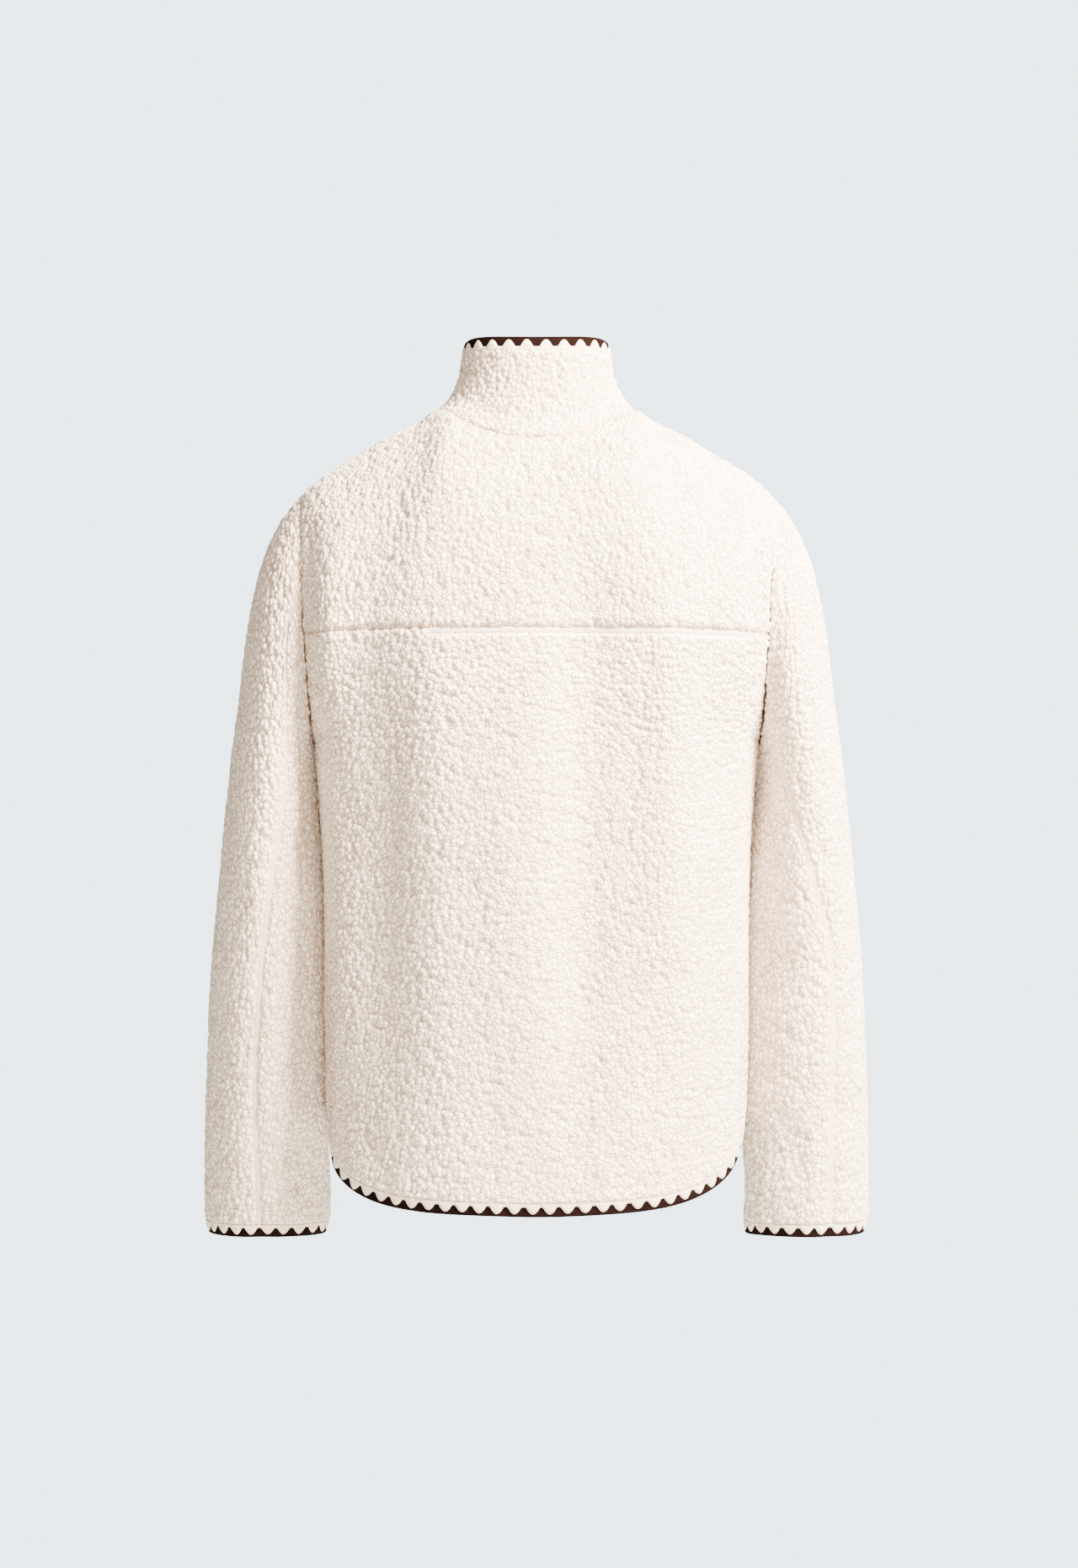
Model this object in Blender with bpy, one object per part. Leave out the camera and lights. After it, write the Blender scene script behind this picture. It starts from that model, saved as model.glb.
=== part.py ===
"""A faux shearling jacket, filled out as if worn: Blender 4.5, metres, +Z up.

The front faces -Y and the wearer's left is +X. The origin is the middle of the neck
opening, at the height of the collar seam. Each cloth piece is a wall through rows of
points that are worked out from the tables below, so neighbours share their seam line and
then step back from it by half a seam gap.
"""

import math

import bmesh
import bpy
import numpy as np

# ---------------------------------------------------------------- driving dimensions

WALL = 0.006  # pile and its knitted ground
SEAM_GAP = 0.0003
ZIP_HALF_OPENING = 0.0045

# The torso below the arms: a rounded section at each height.
TORSO_COLUMNS = ("height", "half_width", "back", "front")
TORSO = (
    (-0.650, 0.1680, 0.1150, 0.1170),
    (-0.600, 0.1705, 0.1170, 0.1180),
    (-0.553, 0.1740, 0.1190, 0.1190),
    (-0.483, 0.1758, 0.1220, 0.1210),
    (-0.413, 0.1760, 0.1250, 0.1240),
    (-0.343, 0.1780, 0.1280, 0.1280),
    (-0.262, 0.1840, 0.1300, 0.1300),
    (-0.200, 0.1880, 0.1290, 0.1240),
    (-0.169, 0.1900, 0.1270, 0.1180),
)
SQUARENESS = 2.3  # exponent of the torso's rounded section
YOKE_SEAM_HEIGHT = -0.1686
UNDERARM_HEIGHT = -0.262
CHEST_HEIGHT = -0.120

# The crest of the shoulder, from the side of the neck to the top of the armhole.
SHOULDER_COLUMNS = ("out", "height")
SHOULDER = (
    (0.0840, 0.0180),
    (0.0987, 0.0070),
    (0.1260, -0.0070),
    (0.1456, -0.0200),
    (0.1740, -0.0360),
    (0.1960, -0.0550),
)

# The sleeve: each row is a ring given by its outer and inner point, its half depth from
# front to back, and how far forward its middle lies. The first ring is the armhole.
SLEEVE_COLUMNS = ("outer_x", "outer_z", "inner_x", "inner_z", "half_depth", "middle_y")
SLEEVE = (
    (0.1960, -0.0550, 0.1840, -0.2620, 0.0700, 0.0000),
    (0.2128, -0.0770, 0.1848, -0.2660, 0.0730, -0.0010),
    (0.2258, -0.1050, 0.1855, -0.2710, 0.0755, -0.0020),
    (0.2342, -0.1350, 0.1860, -0.2770, 0.0770, -0.0035),
    (0.2415, -0.1750, 0.1864, -0.2850, 0.0775, -0.0050),
    (0.2475, -0.2250, 0.1866, -0.2960, 0.0765, -0.0070),
    (0.2540, -0.2730, 0.1855, -0.3130, 0.0745, -0.0090),
    (0.2610, -0.3330, 0.1825, -0.3430, 0.0710, -0.0130),
    (0.2680, -0.4000, 0.1796, -0.4030, 0.0665, -0.0190),
    (0.2735, -0.4650, 0.1784, -0.4650, 0.0630, -0.0245),
    (0.2768, -0.5400, 0.1775, -0.5400, 0.0595, -0.0305),
    (0.2788, -0.6000, 0.1757, -0.6000, 0.0560, -0.0355),
    (0.2790, -0.6585, 0.1745, -0.6585, 0.0520, -0.0400),
)
SLEEVE_RINGS = 22

# The neck seam and the collar's top, as half width, back, front and three heights.
NECK_COLUMNS = ("half_width", "back", "front", "height_back", "height_side", "height_front")
NECK_SEAM = (0.0840, 0.0860, 0.0920, -0.0150, 0.0180, -0.0480)
COLLAR_TOP = (0.0690, 0.0665, 0.0800, 0.0610, 0.0590, 0.0340)
COLLAR_SQUARENESS = 2.1  # exponent of the neck's rounded section
COLLAR_FLARE = 2.5  # how soon the collar draws in above its seam

# How the cloth leaves the neck seam, as parts of upwards and inwards, and how full it is.
NECK_RISE = {"back": 0.83, "front": 0.94}
NECK_LEAN = {"back": 0.55, "front": 0.35}
YOKE_FULLNESS = 1.1

# The curved hem: its lowest height, and how it rises towards each side seam.
HEM_EDGE_HEIGHT = -0.640
HEM_RISE = 0.070
HEM_RISE_LENGTH = 0.048
HEM_ROUNDING = 0.015

# The binding and the scalloped braid on every edge.
BINDING_DEPTH = 0.0100  # how far the binding reaches past the pile
BINDING_OUTER_INSET = 0.0028
BINDING_INNER_INSET = 0.0058
BRAID_OUTER_INSET = 0.0006
BRAID_INNER_INSET = 0.0021
BRAID_VALLEY = 0.0030
BRAID_TIP = 0.0080
SCALLOP_PITCH = 0.0143
POINTS_PER_SCALLOP = 3

# How finely the cloth is divided.
COLUMNS = 12  # from the middle line to the side seam or the armhole
NECK_STEPS = 6  # of these, the ones along the neck
YOKE_ROWS = 6
ARMHOLE_ROWS = 5  # from the yoke seam to the underarm
BODY_ROWS = 12  # from the underarm to the hem
COLLAR_ROWS = 5
YOKE_ANGLE = math.radians(97.5)  # where the yoke seam meets the armhole
SMALL_TURN = 0.02  # radians, to find the direction in which the cloth meets the yoke seam

# Soft folds that run down the body: negative depth is a trough.
FOLD_FADE = 0.03  # how near the side seam a fold starts to fade
BODY_FOLD_COLUMNS = ("face", "across", "reach", "top", "bottom", "depth")
BODY_FOLDS = (
    ("back", 0.118, 0.022, -0.190, -0.600, -0.0045),
    ("back", -0.084, 0.024, -0.140, -0.510, -0.0050),
    ("back", 0.020, 0.028, -0.210, -0.560, 0.0030),
    ("back", -0.148, 0.018, -0.260, -0.580, 0.0030),
    ("back", -0.030, 0.018, -0.380, -0.640, -0.0020),
    ("front", 0.098, 0.024, -0.180, -0.560, -0.0045),
    ("front", -0.112, 0.022, -0.210, -0.600, -0.0040),
    ("front", 0.050, 0.020, -0.300, -0.640, 0.0025),
    ("front", -0.055, 0.022, -0.240, -0.520, 0.0025),
)

# Soft creases across the sleeves. Turn is measured from the outer side, over the back.
SLEEVE_RADIUS = 0.05
SLEEVE_FOLD_COLUMNS = ("side", "height", "turn", "slope", "reach", "around", "depth")
SLEEVE_FOLDS = (
    ("left", -0.345, 140.0, 0.4, 0.022, 55.0, -0.0028),
    ("left", -0.405, 60.0, -0.4, 0.018, 50.0, -0.0025),
    ("left", -0.470, 250.0, 0.4, 0.020, 70.0, -0.0035),
    ("left", -0.585, 125.0, 0.6, 0.014, 45.0, -0.0030),
    ("left", -0.615, 215.0, -0.5, 0.014, 60.0, -0.0030),
    ("right", -0.330, 100.0, 0.4, 0.022, 50.0, -0.0025),
    ("right", -0.440, 110.0, -0.5, 0.018, 50.0, -0.0030),
    ("right", -0.500, 260.0, 0.4, 0.020, 70.0, -0.0035),
    ("right", -0.560, 60.0, 0.5, 0.016, 45.0, -0.0025),
    ("right", -0.610, 150.0, -0.6, 0.014, 50.0, -0.0030),
)

# The flat seam down the back of each sleeve: how far out it runs at each height.
SLEEVE_SEAM_DEPTH = 0.0014
SEAM_SEARCH = (20, 170)  # degrees of turn between which the seam is looked for
SLEEVE_SEAM_COLUMNS = ("height", "out")
SLEEVE_SEAM = {
    "left": (
        (-0.230, 0.186),
        (-0.299, 0.203),
        (-0.374, 0.217),
        (-0.449, 0.227),
        (-0.550, 0.2335),
        (-0.657, 0.230),
    ),
    "right": (
        (-0.190, 0.183),
        (-0.245, 0.196),
        (-0.322, 0.219),
        (-0.406, 0.238),
        (-0.450, 0.2445),
        (-0.547, 0.2457),
        (-0.657, 0.244),
    ),
}
SEAM_START = {"left": 8, "right": 7}  # the armhole point where each seam starts
SEAM_EASE = 0.35  # share of the sleeve over which the seam leaves the armhole point

# The zip.
TAPE_HALF_GAP = 0.0006
TAPE_SHARE = 0.42  # of the first column of cloth that the tape covers
TAPE_OUTER_INSET = 0.0069
TAPE_INNER_INSET = 0.0077
SLIDER_WIDTH = 0.0072
SLIDER_HEIGHT = 0.0130
SLIDER_OUTER_INSET = 0.0030
SLIDER_INNER_INSET = 0.0059
SLIDER_BEVEL = 0.0008
SLIDER_PLACE = 0.72  # share of the collar's height at the front
BRIDGE_WIDTH = 0.0020
BRIDGE_BAR = 0.0012
BRIDGE_HALF_OPENING = 0.0015
PULL_BAR = 0.0016
PULL_WIDTH = 0.0062
PULL_SLOT_WIDTH = 0.0032
PULL_SLOT_LENGTH = 0.0062
PULL_LENGTH = 0.0240

COLOURS = {
    "pile": ((0.86, 0.80, 0.73), 0.95, 0.0),
    "binding": ((0.035, 0.016, 0.012), 0.85, 0.0),
    "braid": ((0.84, 0.77, 0.67), 0.85, 0.0),
    "tape": ((0.70, 0.62, 0.53), 0.85, 0.0),
    "metal": ((0.60, 0.57, 0.52), 0.30, 1.0),
}

# ---------------------------------------------------------------- tables and curves


def column_of(names, table, name):
    place = names.index(name)
    return np.array([row[place] for row in table], float)


def smooth_read(at, keys, values):
    """A smooth curve through the values of a table, read at any key between its ends."""
    order = np.argsort(keys)
    keys, values = keys[order], values[order]
    slopes = np.gradient(values, keys)
    at = np.clip(at, keys[0], keys[-1])
    low = np.clip(np.searchsorted(keys, at) - 1, 0, len(keys) - 2)
    width = keys[low + 1] - keys[low]
    t = (at - keys[low]) / width
    start = (2 * t**3 - 3 * t**2 + 1) * values[low]
    end = (3 * t**2 - 2 * t**3) * values[low + 1]
    rise = (t**3 - 2 * t**2 + t) * width * slopes[low]
    fall = (t**3 - t**2) * width * slopes[low + 1]
    return start + end + rise + fall


def torso_size(height, name):
    heights = column_of(TORSO_COLUMNS, TORSO, "height")
    return smooth_read(height, heights, column_of(TORSO_COLUMNS, TORSO, name))


def shoulder_height(out):
    outs = column_of(SHOULDER_COLUMNS, SHOULDER, "out")
    return smooth_read(out, outs, column_of(SHOULDER_COLUMNS, SHOULDER, "height"))


def rounded(angle, half_width, depth, squareness):
    """A point of a rounded section, where angle 0 is the middle line and 90 degrees the side."""
    power = 2 / squareness
    across = half_width * np.abs(np.sin(angle)) ** power
    along = depth * np.sign(np.cos(angle)) * np.abs(np.cos(angle)) ** power
    return across, along


def neck_ring(sizes, angle):
    """Points round the neck: angle 0 is the middle of the back and 180 degrees the front."""
    size = dict(zip(NECK_COLUMNS, sizes))
    depth = np.where(np.cos(angle) >= 0, size["back"], size["front"])
    across, along = rounded(angle, size["half_width"], depth, COLLAR_SQUARENESS)
    swing = (size["height_back"] - size["height_front"]) / 2
    middle = (size["height_back"] + size["height_front"]) / 2
    height = (middle + size["height_side"]) / 2 + swing * np.cos(angle)
    height = height + (middle - size["height_side"]) / 2 * np.cos(2 * angle)
    return np.stack([across, along, height], axis=-1)


def armhole_angles():
    """Angles down one half of the armhole, from the shoulder to the underarm."""
    upper = np.linspace(0, YOKE_ANGLE, YOKE_ROWS + 1)
    lower = np.linspace(YOKE_ANGLE, math.pi, ARMHOLE_ROWS + 1)
    return np.concatenate([upper, lower[1:]])


def sleeve_ring(place, angles):
    """One ring of the left sleeve. Place runs from 0 at the armhole to 1 at the cuff."""
    keys = np.linspace(0, 1, len(SLEEVE))
    size = {n: smooth_read(place, keys, column_of(SLEEVE_COLUMNS, SLEEVE, n)) for n in SLEEVE_COLUMNS}
    outer = np.array([size["outer_x"], 0, size["outer_z"]])
    inner = np.array([size["inner_x"], 0, size["inner_z"]])
    middle = (outer + inner) / 2 + [0, size["middle_y"], 0]
    turn = np.cos(angles)[:, None] * (outer - inner) / 2
    depth = np.sin(angles)[:, None] * np.array([0, size["half_depth"], 0])
    return middle + turn + depth


# ---------------------------------------------------------------- the cloth's grids


def hem_rise(from_side):
    """How far the hem lies above its lowest point, at a distance along it from the side seam."""
    along = np.sqrt(from_side**2 + HEM_ROUNDING**2) - HEM_ROUNDING
    return HEM_RISE * np.exp(-along / HEM_RISE_LENGTH)


def armhole_row(angle, face):
    """A row across half the body from the middle line to the armhole, below the yoke seam."""
    edge = sleeve_ring(0.0, np.array([angle]))[0]
    share = (angle - YOKE_ANGLE) / (math.pi - YOKE_ANGLE)
    middle_height = YOKE_SEAM_HEIGHT + share * (UNDERARM_HEIGHT - YOKE_SEAM_HEIGHT)
    depth = torso_size(middle_height, face)
    ratio = min(edge[1] / depth, 0.999)
    half_width = edge[0] / (1 - ratio**SQUARENESS) ** (1 / SQUARENESS)
    last = math.acos(max(ratio, 0.0) ** (SQUARENESS / 2))
    steps = np.linspace(0, 1, COLUMNS + 1)
    across, along = rounded(steps * last, half_width, depth, SQUARENESS)
    height = middle_height + (edge[2] - middle_height) * steps**2
    return np.stack([across, along, height], axis=-1)


def top_row(face):
    """The upper edge of half the body: along the neck seam, then along the shoulder."""
    turn = np.linspace(0, math.pi / 2, NECK_STEPS + 1)
    if face == "front":
        turn = math.pi - turn
    neck = neck_ring(NECK_SEAM, turn)
    out = np.linspace(SHOULDER[0][0], SHOULDER[-1][0], COLUMNS - NECK_STEPS + 1)[1:]
    crest = np.stack([out, np.zeros_like(out), shoulder_height(out)], axis=-1)
    row = np.concatenate([neck, crest])
    row[:, 1] = np.abs(row[:, 1])
    return row


def half_body(face):
    """Rows of half the body as seen from behind, shoulder to hem, with depth counted as +Y."""
    angles = armhole_angles()
    yoke_seam = armhole_row(YOKE_ANGLE, face)
    below = armhole_row(YOKE_ANGLE + SMALL_TURN, face)
    rise = yoke_seam - below
    rise /= np.linalg.norm(rise, axis=1)[:, None]
    top = top_row(face)
    steps = np.linspace(0, 1, COLUMNS + 1)
    over = np.clip(np.arange(COLUMNS + 1) / NECK_STEPS, 0, 1)
    over = over**2 * (3 - 2 * over)
    lean = NECK_LEAN[face] + (1 - NECK_LEAN[face]) * over
    arrive = np.stack([0 * over, -lean, NECK_RISE[face] * (1 - over)], axis=-1)
    reach = YOKE_FULLNESS * np.linalg.norm(top - yoke_seam, axis=1)[:, None]
    rows = []
    for k in range(YOKE_ROWS):
        t = 1 - k / YOKE_ROWS
        row = (2 * t**3 - 3 * t**2 + 1) * yoke_seam + (3 * t**2 - 2 * t**3) * top
        row = row + (t**3 - 2 * t**2 + t) * reach * rise
        row = row + (t**3 - t**2) * reach * arrive
        miss = sleeve_ring(0.0, angles[k : k + 1])[0] - row[-1]
        rows.append(row + steps[:, None] ** 3 * miss)
    for angle in angles[YOKE_ROWS:]:
        rows.append(armhole_row(angle, face))
    rows += hem_rows(rows[-1], face)
    return np.array(rows)


def hem_rows(underarm, face):
    """Rows from the underarm to the edge of the pile, which follows the curved hem."""
    turn = np.linspace(0, math.pi / 2, COLUMNS + 1)
    width, depth = torso_size(HEM_EDGE_HEIGHT, "half_width"), torso_size(HEM_EDGE_HEIGHT, face)
    across, along = rounded(turn, width, depth, SQUARENESS)
    step = np.hypot(np.diff(across), np.diff(along))
    from_side = np.append(np.cumsum(step[::-1])[::-1], 0)
    hem = HEM_EDGE_HEIGHT + BINDING_DEPTH + hem_rise(from_side)
    rows = []
    for r in range(1, BODY_ROWS + 1):
        height = underarm[:, 2] + (hem - underarm[:, 2]) * r / BODY_ROWS
        width, depth = torso_size(height, "half_width"), torso_size(height, face)
        across, along = rounded(turn, width, depth, SQUARENESS)
        rows.append(np.stack([across, along, height], axis=-1))
    return rows


def opened_for_zip(rows):
    """Moves the middle edge out to the zip, and squeezes each row evenly as far as the neck's side."""
    side = rows[:, NECK_STEPS : NECK_STEPS + 1, 0]
    near = rows[:, :NECK_STEPS, 0]
    rows[:, :NECK_STEPS, 0] = ZIP_HALF_OPENING + near * (side - ZIP_HALF_OPENING) / side
    return rows


def collar_grid():
    """Rows of the collar, from the neck seam up, round from the zip's left edge to its right."""
    back = np.linspace(0, math.pi / 2, NECK_STEPS + 1)
    turn = np.concatenate([back, back[1:] + math.pi / 2])
    base = neck_ring(NECK_SEAM, turn)
    top = neck_ring(COLLAR_TOP, turn)
    rows = []
    for v in np.linspace(0, 1, COLLAR_ROWS + 1):
        drawn_in = 1 - (1 - v) ** COLLAR_FLARE
        rows.append(base + (top - base) * [drawn_in, drawn_in, v])
    left = opened_for_zip(np.array(rows)[:, ::-1])
    return np.concatenate([left, mirrored(left)[:, 1:]], axis=1)


def seam_turn(place, side):
    """The turn at which a ring of the sleeve meets the line of the back seam."""
    turns = np.radians(np.linspace(*SEAM_SEARCH, 301))
    ring = sleeve_ring(place, turns)
    heights = column_of(SLEEVE_SEAM_COLUMNS, SLEEVE_SEAM[side], "height")
    outs = column_of(SLEEVE_SEAM_COLUMNS, SLEEVE_SEAM[side], "out")
    miss = np.abs(ring[:, 0] - smooth_read(ring[:, 2], heights, outs))
    return turns[miss.argmin()]


def sleeve_grid(side):
    """Rings of one sleeve, armhole to cuff, each turned so that one column follows the seam."""
    half = armhole_angles()
    base = np.concatenate([half, 2 * math.pi - half[-2::-1]])
    start = base[SEAM_START[side]]
    rings = []
    for place in np.linspace(0, 1, SLEEVE_RINGS + 1):
        ease = min(1.0, place / SEAM_EASE)
        ease = ease**2 * (3 - 2 * ease)
        twist = (seam_turn(place, side) - start) * ease
        ring = sleeve_ring(place, base + twist)
        rings.append(ring + ease * sleeve_folds(side, ring, base + twist))
    grid = np.array(rings)
    grid[:, -1] = grid[:, 0]
    return grid if side == "left" else mirrored(grid)


def sleeve_folds(side, ring, turn):
    """How far the creases push each point of a ring in, towards the ring's middle."""
    inwards = ring.mean(axis=0) - ring
    inwards[:, 2] = 0
    inwards /= np.linalg.norm(inwards, axis=1)[:, None] + 1e-9
    push = np.zeros(len(ring))
    for fold_side, height, middle, slope, reach, around, depth in SLEEVE_FOLDS:
        if fold_side != side:
            continue
        off = (np.degrees(turn) - middle + 180) % 360 - 180
        rise = ring[:, 2] - height - slope * np.radians(off) * SLEEVE_RADIUS
        push -= depth * np.exp(-((rise / reach) ** 2) - (off / around) ** 2)
    return inwards * push[:, None]


def body_folds(points, face):
    """Depth of the long folds at points of the body, along Y, positive outwards."""
    push = np.zeros(points.shape[:-1])
    for fold_face, across, reach, top, bottom, depth in BODY_FOLDS:
        if fold_face != face:
            continue
        middle, half = (top + bottom) / 2, (top - bottom) / 2
        along = np.clip(1 - ((points[..., 2] - middle) / half) ** 2, 0, 1)
        push += depth * along * np.exp(-(((points[..., 0] - across) / reach) ** 2))
    return push


def mirrored(grid):
    return grid[:, ::-1] * [-1, 1, 1]


def body_grids():
    """The yoke, the back panel and the two fronts, as grids that share their seam points."""
    back = half_body("back")
    back = np.concatenate([mirrored(back), back[:, 1:]], axis=1)
    front_left = opened_for_zip(half_body("front")) * [1, -1, 1]
    front_right = mirrored(front_left)
    for grid, face, outwards in ((back, "back", 1), (front_left, "front", -1), (front_right, "front", -1)):
        grid[..., 1] += outwards * body_folds(grid, face) * edge_fade(grid)
    return {
        "back_yoke": back[: YOKE_ROWS + 1],
        "back_panel": back[YOKE_ROWS:],
        "front_left": front_left,
        "front_right": front_right,
    }


def edge_fade(grid):
    """0 at the side seam and the armhole, so that neighbours keep their shared points."""
    side = np.abs(grid[..., 0]).max(axis=1, keepdims=True)
    return np.clip((side - np.abs(grid[..., 0])) / FOLD_FADE, 0, 1)


# ---------------------------------------------------------------- walls from grids


def key_of(point):
    return tuple(np.round(point, 6) + 0.0)


def shared_normals(grids, inside):
    """Outward normals at every point, averaged over all the pieces that meet there."""
    total = {}
    for name, grid in grids.items():
        across = grid[1:, 1:] - grid[:-1, :-1]
        along = grid[1:, :-1] - grid[:-1, 1:]
        face = np.cross(across, along)
        middle = (grid[1:, 1:] + grid[:-1, :-1]) / 2
        outwards = np.sign((face * (middle - inside(name, middle))).sum(axis=(0, 1, 2)))
        for r in range(face.shape[0]):
            for c in range(face.shape[1]):
                for corner in ((r, c), (r + 1, c), (r, c + 1), (r + 1, c + 1)):
                    key = key_of(grid[corner])
                    total[key] = total.get(key, 0) + outwards * face[r, c]
    normals = {}
    for name, grid in grids.items():
        found = np.array([[total[key_of(p)] for p in row] for row in grid])
        normals[name] = found / np.linalg.norm(found, axis=-1)[..., None]
    return normals


def inside_of(name, points):
    """A point inside the jacket's hollow, level with each given point."""
    if name.startswith("sleeve"):
        return np.broadcast_to(points.mean(axis=1, keepdims=True), points.shape)
    centre = np.zeros_like(points)
    highest = points[..., 2].max() if name == "collar" else CHEST_HEIGHT
    centre[..., 2] = np.minimum(points[..., 2], highest)
    return centre


def stepped_back(line, inner_line, normals, gap):
    """The points of a seam moved off it, within the surface, towards the piece they belong to."""
    across = []
    for i in range(len(line) - 1):
        tangent = line[i + 1] - line[i]
        normal = normals[i] + normals[i + 1]
        side = np.cross(tangent, normal)
        side /= np.linalg.norm(side)
        towards = inner_line[i] + inner_line[i + 1] - line[i] - line[i + 1]
        towards = towards - normal * (towards @ normal) / (normal @ normal)
        across.append(side * (1 if side @ towards > 0 else -1))
    across = [across[0], *across, across[-1]]
    moved = []
    for i, point in enumerate(line):
        before, after = across[i], across[i + 1]
        moved.append(point + gap * (before + after) / max(1 + before @ after, 0.5))
    return np.array(moved)


def off_seams(grid, normals, closed):
    """The grid with its edges stepped back by half the seam gap."""
    result = grid.copy()
    gap = SEAM_GAP / 2
    result[0] = stepped_back(grid[0], grid[1], normals[0], gap)
    if not closed:
        first = stepped_back(result[:, 0], result[:, 1], normals[:, 0], gap)
        last = stepped_back(result[:, -1], result[:, -2], normals[:, -1], gap)
        result[:, 0], result[:, -1] = first, last
    result[-1] = stepped_back(result[-1], result[-2], normals[-1], gap)
    if closed:
        for row in (0, -1):
            result[row, 0] = result[row, -1] = (result[row, 0] + result[row, -1]) / 2
    return result


def rim_faces(points, a, b, half):
    """Two triangles between the outer edge a-b and the inner edge behind it.

    They always meet on the line from the higher outer point, so that the rims of two
    neighbours run side by side however much the seam twists.
    """
    if points[a][2] < points[b][2]:
        a, b = b, a
    return [(a, b, half + b), (a, half + b, half + a)]


def panel_faces(points, a, b, c, d, half):
    """A four-sided face of the wall, split along its shorter diagonal, outside and inside."""
    if np.linalg.norm(points[a] - points[c]) <= np.linalg.norm(points[b] - points[d]):
        split = [(a, b, c), (a, c, d)]
    else:
        split = [(b, c, d), (b, d, a)]
    return split + [tuple(half + corner for corner in face) for face in split]


def wall_mesh(name, outer, inner, closed):
    """A closed wall between two grids of points, as one mesh."""
    if closed:
        outer, inner = outer[:, :-1], inner[:, :-1]
    rows, columns = outer.shape[:2]
    points = np.concatenate([outer.reshape(-1, 3), inner.reshape(-1, 3)])
    half = rows * columns
    low = (rows - 1) * columns
    faces = []
    last = columns if closed else columns - 1
    for r in range(rows - 1):
        for c in range(last):
            a, b = r * columns + c, r * columns + (c + 1) % columns
            faces += panel_faces(points, a, b, b + columns, a + columns, half)
    for c in range(last):
        d = (c + 1) % columns
        faces += rim_faces(points, c, d, half)
        faces += rim_faces(points, low + c, low + d, half)
    if not closed:
        for r in range(rows - 1):
            a, b = r * columns, (r + 1) * columns
            faces += rim_faces(points, a, b, half)
            faces += rim_faces(points, a + columns - 1, b + columns - 1, half)
    mesh = bpy.data.meshes.new(name)
    mesh.from_pydata(points.tolist(), [], faces)
    return mesh


def add_object(name, mesh, finish):
    """Puts a mesh in the scene with its faces turned out and its own material."""
    work = bmesh.new()
    work.from_mesh(mesh)
    bmesh.ops.recalc_face_normals(work, faces=work.faces)
    work.to_mesh(mesh)
    work.free()
    mesh.shade_smooth()
    mesh.set_sharp_from_angle(angle=math.radians(50))
    colour, roughness, metallic = COLOURS[finish]
    material = bpy.data.materials.new(name)
    material.use_nodes = True
    shader = material.node_tree.nodes["Principled BSDF"]
    shader.inputs["Base Color"].default_value = (*colour, 1)
    shader.inputs["Roughness"].default_value = roughness
    shader.inputs["Metallic"].default_value = metallic
    mesh.materials.append(material)
    obj = bpy.data.objects.new(name, mesh)
    bpy.context.scene.collection.objects.link(obj)
    return obj


def make_cloth(grids, normals):
    """The seven cloth pieces. The seam column of a sleeve is pressed in on its outer side."""
    for name, grid in grids.items():
        closed = name.startswith("sleeve")
        outer = off_seams(grid, normals[name], closed)
        inner = outer - WALL * normals[name]
        if closed:
            column = SEAM_START[name.split("_")[1]]
            if name.endswith("right"):
                column = grid.shape[1] - 1 - column
            outer[1:, column] -= SLEEVE_SEAM_DEPTH * normals[name][1:, column]
        add_object(name, wall_mesh(name, outer, inner, closed), "pile")


# ---------------------------------------------------------------- binding and braid


def resampled(line, count):
    """The line at evenly spaced places along it, by straight steps between its points."""
    step = np.linalg.norm(np.diff(line[:, :3], axis=0), axis=1)
    along = np.concatenate([[0], np.cumsum(step)])
    wanted = np.linspace(0, along[-1], count + 1)
    return np.stack([np.interp(wanted, along, line[:, i]) for i in range(line.shape[1])], axis=-1)


def edge_line(points, normals, towards):
    """An edge of the pile as rows of point, outward normal and the direction off the edge."""
    tangent = np.gradient(points, axis=0)
    off = np.cross(tangent, normals)
    off *= np.sign((off * towards).sum(axis=1))[:, None]
    off /= np.linalg.norm(off, axis=1)[:, None]
    return np.concatenate([points, normals, off], axis=1)


def strip(name, line, insets, starts, ends, closed, finish):
    """A flat strip along an edge, between two insets and from starts to ends off the edge."""
    point, normal, off = line[:, :3], line[:, 3:6], line[:, 6:9]
    normal = normal / np.linalg.norm(normal, axis=1)[:, None]
    starts, ends = np.broadcast_to(starts, len(line)), np.broadcast_to(ends, len(line))
    grids = []
    for inset in insets:
        base = point - inset * normal
        grids.append(np.array([base + starts[:, None] * off, base + ends[:, None] * off]))
    add_object(name, wall_mesh(name, grids[0], grids[1], closed), finish)


def trim_edge(place, line, closed):
    """The dark binding and the scalloped braid along one edge of the jacket."""
    strip(
        f"{place[0]}_binding{place[1]}",
        line,
        (BINDING_OUTER_INSET, BINDING_INNER_INSET),
        SEAM_GAP,
        BINDING_DEPTH,
        closed,
        "binding",
    )
    length = np.linalg.norm(np.diff(line[:, :3], axis=0), axis=1).sum()
    scallops = round(length / SCALLOP_PITCH)
    braid = resampled(line, scallops * POINTS_PER_SCALLOP)
    tips = np.where(np.arange(len(braid)) % POINTS_PER_SCALLOP == 0, BRAID_VALLEY, BRAID_TIP)
    strip(
        f"{place[0]}_braid{place[1]}",
        braid,
        (BRAID_OUTER_INSET, BRAID_INNER_INSET),
        SEAM_GAP,
        tips,
        closed,
        "braid",
    )
    print(place, "edge", round(length, 3), "m,", scallops, "scallops")


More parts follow.
